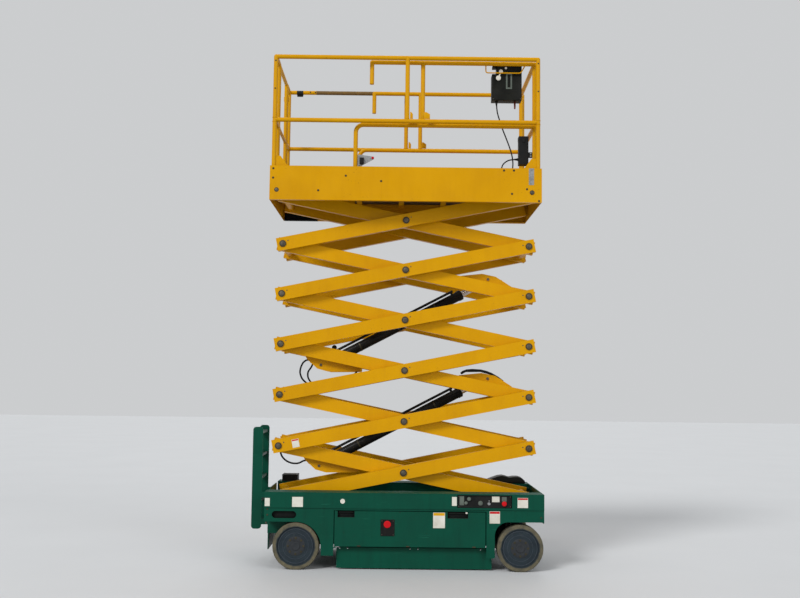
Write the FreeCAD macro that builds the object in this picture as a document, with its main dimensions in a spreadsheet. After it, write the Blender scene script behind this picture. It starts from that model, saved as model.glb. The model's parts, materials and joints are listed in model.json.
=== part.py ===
"""Electric slab scissor lift, half raised: chassis, six-level scissor stack and work platform.

Frame: origin on the floor under the middle of the bounding box, +X to the front,
+Y to the left side, +Z up. Millimetres and degrees.
"""
import FreeCAD, Part
import math
import os
import re
import sys
import Sketcher

V = FreeCAD.Vector

# Driving sizes: alias, value
SIZES = [
    # chassis
    ("pin_setback", 108),
    ("chassis_width", 1200),
    ("chassis_top", 669),
    ("ladder_reach", 162),
    ("band_bottom", 533),
    ("band_proud", 8),
    ("skin", 8),
    ("bay_half", 400),
    ("bay_floor", 502),
    ("beam_bottom", 215),
    ("arch_clear", 232),
    ("rear_skirt_edge", 412),
    ("fender_gap", 221),
    ("fender_width", 109),
    ("fender_bottom", 123),
    ("bulkhead_gap_rear", 225),
    ("bulkhead_gap_front", 259),
    ("pillar_width", 74),
    ("pillar_gap", 223),
    ("pillar_bottom", 114),
    ("front_arch_top", 428),
    ("front_arch_corner", 120),
    ("rear_end_half", 300),
    ("rear_end_bottom", 127),
    ("slot_inset", 67),
    ("slot_length", 215),
    ("slot_bottom", 442),
    ("slot_height", 62),
    ("slot_cut", 100),
    ("hanger_gap", 78),
    ("hanger_width", 20),
    ("battery_gap_rear", 163),
    ("battery_gap_front", 160),
    # wheels and axles
    ("wheel_radius", 203),
    ("wheel_width", 127),
    ("rim_radius", 150),
    ("rim_recess", 10),
    ("disc_thickness", 14),
    ("hub_radius", 45),
    ("rear_wheel_inset", 282),
    ("front_wheel_inset", 211),
    ("spindle_radius", 25),
    ("running_gap", 0.05),
    ("kingpin_inset", 130),
    ("kingpin_radius", 20),
    ("knuckle_radius", 30),
    ("knuckle_height", 200),
    ("axle_height", 60),
    ("axle_width", 56),
    ("motor_radius", 85),
    ("steer_arm", 120),
    # doors, pothole guards
    ("door_gap_rear", 7),
    ("door_gap_front", 8),
    ("door_bottom", 204),
    ("door_top", 510),
    ("door_depth", 40),
    ("guard_inset_rear", 18),
    ("guard_past_door", 60),
    ("guard_bottom", 11),
    ("guard_axis_z", 189),
    ("guard_axis_inset", 56),
    ("guard_barrel", 9),
    ("guard_hinge_rear", 33),
    ("guard_hinge_middle", 60),
    ("guard_hinge_front", 94),
    ("hinge_pin", 5),
    # scissor stack
    ("arm_length", 2310),
    ("arm_overhang", 55),
    ("arm_height", 120),
    ("arm_thickness", 60),
    ("arm_wall", 6),
    ("rest_angle", 11.5),
    ("high_angle", 41),
    ("base_pin_z", 598),
    ("pin_shift", 33),
    ("inner_arm_y", 257),
    ("outer_arm_y", 325),
    ("gusset", 12),
    ("stack_clear", 6),
    ("pin_radius", 25),
    ("pin_gap", 0.3),
    ("head_radius", 22),
    ("head_thickness", 4),
    ("cross_tube_radius", 38),
    ("cross_tube_bore", 30),
    ("roller_radius", 45),
    ("track_gap", 0.3),
    ("track_width", 45),
    ("track_spare", 60),
    ("notch_bottom", 525),
    # lift cylinders
    ("tail_u", -765),
    ("tail_n", -110),
    ("eye_u", 765),
    ("eye_n", 90),
    ("tail_tube_u", -85),
    ("tail_tube_n", 22),
    ("eye_tube_u", 116),
    ("eye_tube_n", -4),
    ("barrel_radius", 45),
    ("barrel_length", 1480),
    ("tail_neck", 60),
    ("rod_radius", 28),
    ("rod_inside", 900),
    ("stroke_in", 221),
    ("eye_radius", 38),
    ("eye_half", 28),
    ("eye_pin", 16),
    ("lug_thickness", 12),
    ("lug_gap", 0.5),
    ("lug_radius", 32),
    ("mount_tube_radius", 26),
    ("small_head_radius", 15),
    ("clip_radius", 10),
    ("transfer_pipe", 12),
    # hoses and cable
    ("hose_radius", 8),
    ("cable_radius", 6),
    ("hose_side", 170),
    ("hose_pitch", 40),
    # platform
    ("platform_offset", -19),
    ("pin_cover", 89),
    ("platform_width", 1190),
    ("panel_below", 181),
    ("panel_above", 130),
    ("panel_skin", 10),
    ("panel_lip", 40),
    ("deck_rise", 91.76043),
    ("deck_thickness", 6),
    ("rib_depth", 25),
    ("rib_width", 50),
    ("rail_height", 1143),
    ("mid_rail_height", 554),
    ("rail_radius", 20),
    ("rail_seat", 0.3),
    ("tread_thickness", 3),
    ("tread_margin", 60),
    ("access_hole_inset", 64),
    ("access_hole_radius", 21),
    ("corner_plate", 6),
    ("end_plate_depth", 18),
    ("mid_post_x", 6),
    ("gate_half", 300),
    ("gate_gap", 8),
    ("gate_radius", 17),
    # sliding extension
    ("slide_deck_length", 1719),
    ("slide_end_gap", 11),
    ("slide_deck_gap", 65),
    ("slide_gap", 6),
    ("slide_deck_thickness", 5),
    ("slide_rail_step", 70.7),
    ("slide_rail_drop", 20),
    ("slide_leg_inset", 37),
    ("stub_step", 141),
    ("stub_length", 225),
    ("slide_post_x", 149),
    ("slide_front_inset", 43),
    ("leg_bend", 70),
    # ladder
    ("ladder_half", 235),
    ("ladder_depth", 91),
    ("ladder_bottom", 298),
    ("ladder_top", 1220),
    ("ladder_corner", 28),
    ("ladder_plate", 8),
    ("bracket_height", 50),
    ("step_pitch", 207),
    ("step_depth", 70),
    ("step_thickness", 22),
    # boxes and controls
    ("ground_panel_length", 483),
    ("ground_panel_inset", 283),
    ("ground_panel_bottom", 548),
    ("ground_panel_top", 660),
    ("ground_panel_depth", 20),
    ("box_length", 275),
    ("box_setback", 114),
    ("box_height", 343),
    ("box_drop", 12),
    ("box_depth", 110),
    ("valve_length", 267),
    ("valve_inset", 37),
    ("valve_top", 746),
    ("charger_inset", 41),
    ("charger_length", 150),
    ("charger_top", 732),
    ("stop_plate_rear", -206),
    ("stop_plate_front", -84),
    ("stop_plate_bottom", 298),
    ("stop_plate_top", 440),
    ("stop_button_x", -148),
    ("stop_button_z", 399),
    ("stop_button_radius", 33),
    ("recess_inset_rear", 26),
    ("recess_length_rear", 149),
    ("recess_length_front", 182),
    ("recess_inset_front", 152),
    ("recess_bottom", 455),
    ("recess_depth", 26),
    ("socket_box_length", 88),
    ("socket_box_setback", 53),
    ("socket_box_lift", 62),
    ("socket_box_height", 262),
    ("socket_box_depth", 80),
]

LEVELS = 6

# Sizes worked out from the driving ones
FORMULAS = {
    "fixed_pin_x": "arm_length / 2 - pin_shift",
    "chassis_length": "2 * (fixed_pin_x + pin_setback)",
    "platform_half": "fixed_pin_x - platform_offset + pin_cover",
    "rear_wheel_x": "rear_wheel_inset - half_length",
    "front_wheel_x": "half_length - front_wheel_inset",
    "slot_rear": "slot_inset - half_length",
    "slot_front": "slot_rear + slot_length",
    "fender_rear": "rear_wheel_x + fender_gap",
    "fender_front": "fender_rear + fender_width",
    "bulkhead_rear": "rear_wheel_x + bulkhead_gap_rear",
    "bulkhead_front": "front_wheel_x - bulkhead_gap_front",
    "pillar_rear": "pillar_front - pillar_width",
    "pillar_front": "front_wheel_x - pillar_gap",
    "door_rear": "fender_front + door_gap_rear",
    "door_front": "pillar_rear - door_gap_front",
    "guard_rear": "door_rear + guard_inset_rear",
    "guard_front": "door_front + guard_past_door",
    "recess_rear_from": "door_rear + recess_inset_rear",
    "recess_rear_to": "recess_rear_from + recess_length_rear",
    "recess_front_from": "recess_front_to - recess_length_front",
    "recess_front_to": "door_front - recess_inset_front",
    "panel_rear": "panel_front - ground_panel_length",
    "panel_front": "half_length - ground_panel_inset",
    "valve_rear": "valve_front - valve_length",
    "valve_front": "half_length - valve_inset",
    "charger_rear": "charger_inset - half_length",
    "charger_front": "charger_rear + charger_length",
    "kingpin_half": "side - kingpin_inset",
    "guard_axis_y": "panel_face - guard_axis_inset",
    "slide_deck_half": "platform_width / 2 - panel_skin - slide_deck_gap",
    "slide_rail_half": "rail_half - slide_rail_step",
    "tread_half": "slide_deck_half - tread_margin",
    "slide_deck_front": "platform_half - slide_end_gap",
    "slide_deck_rear": "slide_deck_front - slide_deck_length",
    "slide_front_x": "slide_deck_front - slide_front_inset",
    "slide_leg_x": "slide_deck_rear + slide_leg_inset",
    "stub_x": "slide_leg_x + stub_step",
    "box_front": "slide_front_x - box_setback",
    "box_rear": "box_front - box_length",
    "socket_box_front": "slide_front_x - socket_box_setback",
    "socket_box_rear": "socket_box_front - socket_box_length",
    "access_hole_x": "access_hole_inset - platform_half",
    "deck_underside": "top_pin_z + deck_rise",
    "panel_bottom": "deck_underside - panel_below",
    "panel_top": "deck_underside + panel_above",
    "top_rail_z": "deck_top + rail_height",
    "mid_rail_z": "deck_top + mid_rail_height",
    "stub_bottom": "top_rail_z - stub_length",
    "box_top": "top_rail_z - box_drop",
    "box_bottom": "box_top - box_height",
    "socket_box_bottom": "panel_top + socket_box_lift",
    "socket_box_top": "socket_box_bottom + socket_box_height",
    "mid": "ladder_reach / 2",
    "deck_mid": "ladder_reach / 2 + platform_offset",
    "rise": "arm_length * sin(rest_angle)",
    "spread": "arm_length * cos(rest_angle)",
    "pin_front": "mid + fixed_pin_x",
    "stack_centre": "mid + fixed_pin_x - spread / 2",
    "top_pin_z": f"base_pin_z + {LEVELS} * rise",
    "half_length": "chassis_length / 2",
    "side": "chassis_width / 2",
    "panel_face": "chassis_width / 2 - band_proud",
    "axle_z": "wheel_radius",
    "hanger_face": "min(bay_half - 5; side - wheel_width - hanger_gap)",
    "pin_end": "outer_arm_y + arm_thickness + head_thickness",
    "pin_bore": "pin_radius + pin_gap",
    "track_end": "mid + fixed_pin_x - arm_length * cos(high_angle) + roller_radius + track_spare",
    "rail_top": "top_rail_z",
    "rail_half": "platform_width / 2 - panel_skin - rail_seat - rail_radius",
    "post_x": "platform_half - panel_skin - rail_seat - rail_radius",
    "gate_post_y": "gate_half + gate_gap + rail_radius",
    "door_hinge_x": "mid + door_rear + 6",
    "door_hinge_y": "chassis_width / 2 - band_proud - 6",
    "deck_top": "deck_underside + deck_thickness",
    "slide_deck_z": "deck_underside + deck_thickness + slide_gap",
    "slide_top": "deck_underside + deck_thickness + slide_gap + slide_deck_thickness",
}

document = FreeCAD.newDocument("scissor_lift")
sheet = document.addObject("Spreadsheet::Sheet", "sizes")
for row, (alias, value) in enumerate(SIZES, start=1):
    sheet.set(f"A{row}", alias)
    sheet.set(f"B{row}", str(value))
    sheet.setAlias(f"B{row}", alias)
document.recompute()

ALIASES = {alias for alias, value in SIZES}
nodes = []


def formula(text):
    """The same text with every named size turned into a reference to its cell."""

    def spell(match):
        word = match.group(0)
        if word in FORMULAS:
            return f"({formula(FORMULAS[word])})"
        if word in ALIASES:
            return f"sizes.{word}"
        return word

    return re.sub(r"[a-z][a-z_0-9]*", spell, str(text))


def number(text):
    """The present value of a formula."""
    value = sheet.evalExpression(formula(text))
    return getattr(value, "Value", value)


def bind(item, **values):
    for field, text in values.items():
        item.setExpression(field.replace("__", "."), formula(text))


def place(item, x=0, y=0, z=0, axis=None, angle=0):
    if axis:
        item.Placement = FreeCAD.Placement(V(0, 0, 0), FreeCAD.Rotation(axis, number(angle)))
        item.setExpression("Placement.Rotation.Angle", formula(angle))
    item.setExpression("Placement.Base.x", formula(x))
    item.setExpression("Placement.Base.y", formula(y))
    item.setExpression("Placement.Base.z", formula(z))
    return item


def node(item, name):
    """Marks an object as a finished sub-part with its own label."""
    item.Label = name
    nodes.append(item)
    return item


def box(name, x, y, z):
    """A block between two values on each axis."""
    item = document.addObject("Part::Box", name)
    bind(item, Length=f"({x[1]}) - ({x[0]})", Width=f"({y[1]}) - ({y[0]})", Height=f"({z[1]}) - ({z[0]})")
    return place(item, x[0], y[0], z[0])


TURNS = {"x": (V(0, 1, 0), 90), "y": (V(1, 0, 0), -90), "z": (None, 0)}


def bar(name, along, start, length, radius):
    """A round bar from its start point along the x, y or z axis."""
    item = document.addObject("Part::Cylinder", name)
    bind(item, Radius=radius, Height=length)
    axis, angle = TURNS[along]
    return place(item, *start, axis=axis, angle=angle)


def elbow(name, centre, bend, radius, axis, turn, start):
    """A quarter of a ring of round tube: turned by start about its own axis, then laid over."""
    item = document.addObject("Part::Torus", name)
    bind(item, Radius1=bend, Radius2=radius)
    item.Angle3 = 90
    item.Placement = FreeCAD.Placement(V(0, 0, 0), FreeCAD.Rotation(axis, turn) * FreeCAD.Rotation(V(0, 0, 1), start))
    item.setExpression("Placement.Base.x", formula(centre[0]))
    item.setExpression("Placement.Base.y", formula(centre[1]))
    item.setExpression("Placement.Base.z", formula(centre[2]))
    return item


def ball_at(name, x, y, z, radius):
    """A round end where two tubes meet."""
    item = document.addObject("Part::Sphere", name)
    bind(item, Radius=radius)
    return place(item, x, y, z)


def fuse(name, *shapes):
    item = document.addObject("Part::MultiFuse", name)
    item.Shapes = list(shapes)
    return item


def cut(name, base, *tools):
    item = document.addObject("Part::Cut", name)
    item.Base = base
    item.Tool = tools[0] if len(tools) == 1 else fuse(name + "_tools", *tools)
    return item


def group(name, *shapes):
    """Solids that ride together without touching."""
    item = document.addObject("Part::Compound", name)
    item.Links = list(shapes)
    return item


def mirror(name, source):
    """The same piece on the other side of the machine."""
    item = document.addObject("Part::Mirroring", name)
    item.Source = source
    item.Normal = V(0, 1, 0)
    return item


def plate(name, plane, outline, start, thickness, rounds=()):
    """A flat plate whose outline is a list of corners, with some corners rounded.

    XZ plates run from start towards -Y, YZ plates towards +X and XY plates towards +Z.
    """
    holder = document.addObject("PartDesign::Body", name)
    sketch = holder.newObject("Sketcher::SketchObject", name + "_outline")
    planes = [item for item in holder.Origin.OriginFeatures if item.Role == plane + "_Plane"]
    sketch.AttachmentSupport = [(planes[0], "")]
    sketch.MapMode = "FlatFace"
    sketch.setExpression("AttachmentOffset.Base.z", formula(start))
    corners = [(number(across), number(up)) for across, up in outline]
    count = len(corners)
    for index, corner in enumerate(corners):
        following = corners[(index + 1) % count]
        sketch.addGeometry(Part.LineSegment(V(*corner, 0), V(*following, 0)))
    for index, (across, up) in enumerate(outline):
        sketch.addConstraint(Sketcher.Constraint("Coincident", index, 2, (index + 1) % count, 1))
    for index, (across, up) in enumerate(outline):
        for kind, text, value in (("DistanceX", across, corners[index][0]), ("DistanceY", up, corners[index][1])):
            which = sketch.addConstraint(Sketcher.Constraint(kind, -1, 1, index, 1, value))
            sketch.setExpression(f"Constraints[{which}]", formula(text))
    pad = holder.newObject("PartDesign::Pad", name + "_pad")
    pad.Profile = sketch
    pad.setExpression("Length", formula(thickness))
    sketch.Visibility = False
    document.recompute()
    for index, (corner, radius) in enumerate(rounds):
        edges = corner_edges(holder.Shape, plane, corners[corner])
        before = holder.Tip
        rounding = holder.newObject("PartDesign::Fillet", f"{name}_round_{index + 1}")
        rounding.Base = (before, edges)
        rounding.setExpression("Radius", formula(radius))
        holder.Tip = rounding
        document.recompute()
    return holder


def corner_edges(shape, plane, corner):
    """The straight edges that stand on one corner of a plate's outline."""
    across, up = {"XZ": ("x", "z"), "YZ": ("y", "z"), "XY": ("x", "y")}[plane]
    found = []
    for index, edge in enumerate(shape.Edges, start=1):
        ends = [vertex.Point for vertex in edge.Vertexes]
        near = [abs(getattr(p, across) - corner[0]) < 0.01 and abs(getattr(p, up) - corner[1]) < 0.01 for p in ends]
        if len(ends) == 2 and all(near):
            found.append(f"Edge{index}")
    return found


def chassis():
    """Open tub between the wheels that the folded stack lies in, with its skirts and end plates."""
    inside = "side - band_proud - skin"
    wall = [
        ("mid - half_length + skin", "rear_skirt_edge + 10"),
        ("mid + bulkhead_rear", "rear_skirt_edge + 10"),
        ("mid + bulkhead_rear", "beam_bottom"),
        ("mid + bulkhead_front + skin", "beam_bottom"),
        ("mid + bulkhead_front + skin", "rear_skirt_edge + 10"),
        ("mid + half_length - skin", "rear_skirt_edge + 10"),
        ("mid + half_length - skin", "chassis_top - skin"),
        ("mid - half_length + skin", "chassis_top - skin"),
    ]
    wall_right = plate("bay_wall_right", "XZ", wall, "bay_half", "skin")
    floor = box(
        "bay_floor_plate",
        ("mid - half_length + skin", "mid + half_length - skin"),
        ("-bay_half", "bay_half"),
        ("bay_floor - skin", "bay_floor"),
    )
    rim_right = box(
        "rim_right",
        ("mid - half_length + skin", "mid + half_length - skin"),
        (f"-({inside})", "-bay_half"),
        ("chassis_top - skin", "chassis_top"),
    )
    tray_right = box(
        "tray_right",
        ("mid + bulkhead_rear", "mid + bulkhead_front + skin"),
        ("-(panel_face - door_depth - 6)", "-bay_half"),
        ("beam_bottom", "beam_bottom + skin"),
    )
    bulkheads = [
        box(
            f"bulkhead_{place_name}",
            (f"mid + bulkhead_{place_name}", f"mid + bulkhead_{place_name} + skin"),
            ("-(panel_face - door_depth + 8)", "panel_face - door_depth + 8"),
            ("beam_bottom", "chassis_top - skin"),
        )
        for place_name in ("rear", "front")
    ]
    bay_gap = box(
        "bay_gap",
        ("mid - half_length", "mid + half_length"),
        ("-bay_half", "bay_half"),
        ("bay_floor - skin", "chassis_top"),
    )
    bulkhead_set = cut("bulkheads_cut", fuse("bulkheads", *bulkheads), bay_gap)
    right = fuse("tub_right", wall_right, rim_right, tray_right)
    frame = fuse("tub", right, mirror("tub_left", right), floor, bulkhead_set)
    node(frame, "chassis_frame")

    skirt_outline = [
        ("mid - half_length", "rear_skirt_edge"),
        ("mid + fender_rear", "rear_skirt_edge"),
        ("mid + fender_rear", "fender_bottom"),
        ("mid + fender_front", "fender_bottom"),
        ("mid + fender_front", "door_top + 6"),
        ("mid + pillar_rear", "door_top + 6"),
        ("mid + pillar_rear", "pillar_bottom"),
        ("mid + pillar_front", "pillar_bottom"),
        ("mid + pillar_front", "front_arch_top"),
        ("mid + half_length", "front_arch_top"),
        ("mid + half_length", "chassis_top"),
        ("mid - half_length", "chassis_top"),
    ]
    skirt = plate(
        "skirt_panel", "XZ", skirt_outline, f"{inside}", "skin", rounds=((1, "arch_clear - 9"), (8, "front_arch_corner"))
    )
    band = box(
        "skirt_band",
        ("mid - half_length", "mid + half_length"),
        ("-side", "-panel_face"),
        ("band_bottom", "chassis_top"),
    )
    slot = fuse(
        "skirt_slot",
        box(
            "slot_middle",
            ("mid + slot_rear + slot_height / 2", "mid + slot_front - slot_height / 2"),
            ("-side", "-(side - slot_cut)"),
            ("slot_bottom", "slot_bottom + slot_height"),
        ),
        bar("slot_end_rear", "y", ("mid + slot_rear + slot_height / 2", "-side", "slot_bottom + slot_height / 2"), 100, "slot_height / 2"),
        bar("slot_end_front", "y", ("mid + slot_front - slot_height / 2", "-side", "slot_bottom + slot_height / 2"), 100, "slot_height / 2"),
    )
    window = box(
        "ground_panel_window",
        ("mid + panel_rear", "mid + panel_front"),
        ("-side", "-side + 50"),
        ("ground_panel_bottom", "ground_panel_top"),
    )
    hinge = fuse(
        "door_hinge",
        box(
            "door_hinge_lug",
            ("mid + fender_front - 6", "door_hinge_x + 8"),
            ("-panel_face", "-(door_hinge_y - 8)"),
            ("door_bottom - 14", "door_bottom - 6"),
        ),
        bar("door_pin_low", "z", ("door_hinge_x", "-door_hinge_y", "door_bottom - 12"), 12 + 6, "hinge_pin"),
        bar("door_pin_high", "z", ("door_hinge_x", "-door_hinge_y", "door_top - 6"), 20, "hinge_pin"),
    )
    plain = cut("skirt_plain", fuse("skirt_whole", skirt, band, hinge), slot)
    node(cut("skirt_with_window", plain, window), "side_skirt_right")
    node(mirror("skirt_left", plain), "side_skirt_left")

    front = box(
        "front_end_plate",
        ("mid + half_length - skin", "mid + half_length"),
        (f"-({inside})", inside),
        ("front_arch_top - 10", "chassis_top"),
    )
    node(front, "front_end")
    rear_outline = [
        (f"-({inside})", "rear_skirt_edge"),
        ("-rear_end_half", "rear_skirt_edge"),
        ("-rear_end_half", "rear_end_bottom"),
        ("rear_end_half", "rear_end_bottom"),
        ("rear_end_half", "rear_skirt_edge"),
        (inside, "rear_skirt_edge"),
        (inside, "chassis_top"),
        (f"-({inside})", "chassis_top"),
    ]
    rear = plate("rear_end_plate", "YZ", rear_outline, "mid - half_length", "skin")
    notch = box(
        "roller_notch_right",
        ("mid - half_length - 1", "mid - half_length + skin + 1"),
        ("-(pin_end + 8)", "-(inner_arm_y - 8)"),
        ("notch_bottom", "chassis_top + 1"),
    )
    node(cut("rear_end_notched", rear, notch, mirror("roller_notch_left", notch)), "rear_end")


def stack_mounts():
    """Roller tracks at the rear of the bay and the fixed pin brackets at the front."""
    track = box(
        "base_track",
        ("mid - half_length + skin", "track_end"),
        ("-(inner_arm_y + track_width)", "-inner_arm_y"),
        ("bay_floor", "base_pin_z - roller_radius - track_gap"),
    )
    bracket = plate(
        "base_bracket_plate",
        "XZ",
        [
            ("pin_front - 110", "bay_floor"),
            ("mid + half_length - skin", "bay_floor"),
            ("mid + half_length - skin", "base_pin_z + 40"),
            ("pin_front - 40", "base_pin_z + 40"),
        ],
        "inner_arm_y + arm_thickness + 5",
        20,
        rounds=((3, 30),),
    )
    pin = bar("base_pin", "y", ("pin_front", "-(inner_arm_y + arm_thickness + 25)", "base_pin_z"), "arm_thickness + gusset + 25", "pin_radius")
    right = group("stack_mounts_right", track, fuse("base_bracket_right", bracket, pin))
    node(group("stack_mounts_pair", right, mirror("stack_mounts_left", right)), "stack_mounts")


def axles():
    """Fixed rear axle, front axle with its steering knuckles, and the four wheels."""
    hanger_y = ("-hanger_face", "-(hanger_face - hanger_width)")
    rear = fuse(
        "rear_axle_whole",
        box(
            "rear_beam",
            ("mid + rear_wheel_x - axle_width / 2", "mid + rear_wheel_x + axle_width / 2"),
            ("-bay_half", "bay_half"),
            ("axle_z - axle_height / 2", "axle_z + axle_height / 2"),
        ),
        bar("rear_spindle", "y", ("mid + rear_wheel_x", "-(side - rim_recess - 4)", "axle_z"), "2 * (side - rim_recess - 4)", "spindle_radius"),
        box("rear_hanger_right", ("mid + rear_wheel_x - 90", "mid + rear_wheel_x + 90"), hanger_y, ("axle_z", "bay_floor - skin")),
        box("rear_hanger_left", ("mid + rear_wheel_x - 90", "mid + rear_wheel_x + 90"), ("hanger_face - hanger_width", "hanger_face"), ("axle_z", "bay_floor - skin")),
    )
    node(rear, "rear_axle")

    lug = "knuckle_height / 2 + 1"
    yokes = []
    for side_name, sign in (("right", -1), ("left", 1)):
        inner = "kingpin_half - 110"
        outer = "kingpin_half"
        span = (f"-({outer})", f"-({inner})") if sign < 0 else (inner, outer)
        for level, low, high in (("upper", lug, f"{lug} + 20"), ("lower", f"-({lug}) - 20", f"-({lug})")):
            yokes.append(box(f"yoke_{level}_{side_name}", ("mid + front_wheel_x - 28", "mid + front_wheel_x + 28"), span, (f"axle_z + {low}", f"axle_z + {high}")))
            yokes.append(bar(f"yoke_end_{level}_{side_name}", "z", ("mid + front_wheel_x", f"{sign} * kingpin_half", f"axle_z + {low}"), 20, 28))
        yokes.append(bar(f"kingpin_{side_name}", "z", ("mid + front_wheel_x", f"{sign} * kingpin_half", f"axle_z - ({lug}) - 20"), f"2 * ({lug}) + 40", "kingpin_radius"))
        post = (f"-({inner}) - 10", f"-({inner}) + 20") if sign < 0 else (f"{inner} - 20", f"{inner} + 10")
        yokes.append(box(f"yoke_post_{side_name}", ("mid + front_wheel_x - 28", "mid + front_wheel_x + 28"), post, (f"axle_z - ({lug}) - 20", f"axle_z + {lug} + 20")))
    beam = box(
        "front_beam",
        ("mid + front_wheel_x - axle_width / 2", "mid + front_wheel_x + axle_width / 2"),
        ("-(kingpin_half - 110)", "kingpin_half - 110"),
        ("axle_z - axle_height / 2", "axle_z + axle_height / 2"),
    )
    hanger = box("front_hanger", ("mid + front_wheel_x - 28", "mid + front_wheel_x + 28"), (-160, 160), ("axle_z", "bay_floor - skin"))
    node(fuse("front_axle_whole", beam, hanger, *yokes), "front_axle")

    barrel = cut(
        "knuckle_barrel",
        fuse(
            "knuckle_body",
            bar("knuckle_tube", "z", ("mid + front_wheel_x", "-kingpin_half", "axle_z - knuckle_height / 2"), "knuckle_height", "knuckle_radius"),
            bar("knuckle_spindle", "y", ("mid + front_wheel_x", "-(side - rim_recess - 4)", "axle_z"), "side - rim_recess - 4 - kingpin_half", "spindle_radius"),
            bar("hub_motor", "y", ("mid + front_wheel_x", "-(side - rim_recess - disc_thickness - 6)", "axle_z"), "side - rim_recess - disc_thickness - 6 - kingpin_half - 15", "motor_radius"),
            box("steer_lever", ("mid + front_wheel_x - steer_arm", "mid + front_wheel_x - 10"), ("-kingpin_half", "-(kingpin_half - 24)"), ("axle_z - 70", "axle_z - 55")),
        ),
        bar("kingpin_bore", "z", ("mid + front_wheel_x", "-kingpin_half", "axle_z - knuckle_height"), "2 * knuckle_height", "kingpin_radius + running_gap"),
    )
    node(barrel, "knuckle_right")
    node(mirror("knuckle_mirror", barrel), "knuckle_left")

    for end in ("rear", "front"):
        x = f"mid + {end}_wheel_x"
        tyre = bar(f"{end}_tyre", "y", (x, "-side", "axle_z"), "wheel_width", "wheel_radius")
        rounding = document.addObject("Part::Fillet", f"{end}_tyre_round")
        rounding.Base = tyre
        document.recompute()
        rims = [i for i, edge in enumerate(tyre.Shape.Edges, start=1) if edge.Closed and len(edge.Vertexes) == 1 and isinstance(edge.Curve, Part.Circle)]
        rounding.Edges = [(i, 8, 8) for i in rims]
        hollow = fuse(
            f"{end}_wheel_hollow",
            bar(f"{end}_rim_outer", "y", (x, "-side - 1", "axle_z"), "rim_recess + 1", "rim_radius + 14"),
            bar(f"{end}_rim_inner", "y", (x, "-(side - rim_recess - disc_thickness)", "axle_z"), "wheel_width", "rim_radius"),
            bar(f"{end}_hub_bore", "y", (x, "-side - 1", "axle_z"), "wheel_width + 2", "spindle_radius + running_gap"),
        )
        wheel = cut(f"{end}_wheel", rounding, hollow)
        node(wheel, f"wheel_{end}_right")
        node(mirror(f"{end}_wheel_mirror", wheel), f"wheel_{end}_left")


def doors_and_guards():
    """Swinging side doors and the drop-down pothole guards below them."""
    shell = box("door_block", ("mid + door_rear", "mid + door_front"), ("-panel_face", "-(panel_face - door_depth)"), ("door_bottom", "door_top"))
    hollow = box("door_hollow", ("mid + door_rear + skin", "mid + door_front - skin"), ("-(panel_face - skin)", "-(panel_face - door_depth)"), ("door_bottom + skin", "door_top - skin"))
    bores = [
        bar(f"door_bore_{index}", "z", ("door_hinge_x", "-door_hinge_y", z), 14, "hinge_pin + running_gap")
        for index, z in enumerate(("door_bottom - 6", "door_top - 8"))
    ]
    cups = []
    pockets = []
    for end in ("rear", "front"):
        x = (f"mid + recess_{end}_from", f"mid + recess_{end}_to")
        cups.append(box(f"handle_cup_{end}", (f"{x[0]} - 4", f"{x[1]} + 4"), ("-(panel_face - skin / 2)", "-(panel_face - recess_depth - 4)"), ("recess_bottom - 4", "door_top - skin / 2")))
        pockets.append(box(f"handle_pocket_{end}", x, ("-panel_face - 1", "-(panel_face - recess_depth)"), ("recess_bottom", "door_top + 1")))
    door = cut("door", fuse("door_with_cups", cut("door_shell", shell, hollow), *cups), *bores, *pockets)
    node(door, "door_right")
    node(mirror("door_mirror", door), "door_left")
    panel = box("guard_panel", ("mid + guard_rear", "mid + guard_front"), ("-(guard_axis_y + skin / 2)", "-(guard_axis_y - skin / 2)"), ("guard_bottom", "guard_axis_z"))
    barrels = []
    bores = []
    pins = []
    for index, x in enumerate(("guard_rear + guard_hinge_rear", "guard_hinge_middle", "guard_front - guard_hinge_front")):
        barrels.append(bar(f"guard_barrel_{index}", "x", (f"mid + {x}", "-guard_axis_y", "guard_axis_z"), 60, "guard_barrel"))
        bores.append(bar(f"guard_bore_{index}", "x", (f"mid + {x} - 1", "-guard_axis_y", "guard_axis_z"), 62, "hinge_pin + running_gap"))
        pins.append(bar(f"guard_pin_{index}", "x", (f"mid + {x} - 8", "-guard_axis_y", "guard_axis_z"), 76, "hinge_pin"))
        for end, at in (("a", f"mid + {x} - 8"), ("b", f"mid + {x} + 62")):
            pins.append(box(f"guard_lug_{index}_{end}", (at, f"{at} + 6"), ("-(guard_axis_y + hinge_pin)", "-(guard_axis_y - 12)"), ("guard_axis_z - hinge_pin", "beam_bottom")))
            bores.append(box(f"guard_notch_{index}_{end}", (f"{at} - 2", f"{at} + 8"), ("-(guard_axis_y + 20)", "-(guard_axis_y - 20)"), ("guard_axis_z - 14", "guard_axis_z + 20")))
    guard = cut("guard", fuse("guard_whole", panel, *barrels), *bores)
    node(guard, "pothole_guard_right")
    node(mirror("guard_mirror", guard), "pothole_guard_left")
    hangers = fuse("guard_hangers_right", *pins)
    node(group("guard_hangers_pair", hangers, mirror("guard_hangers_left", hangers)), "guard_hangers")


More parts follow.
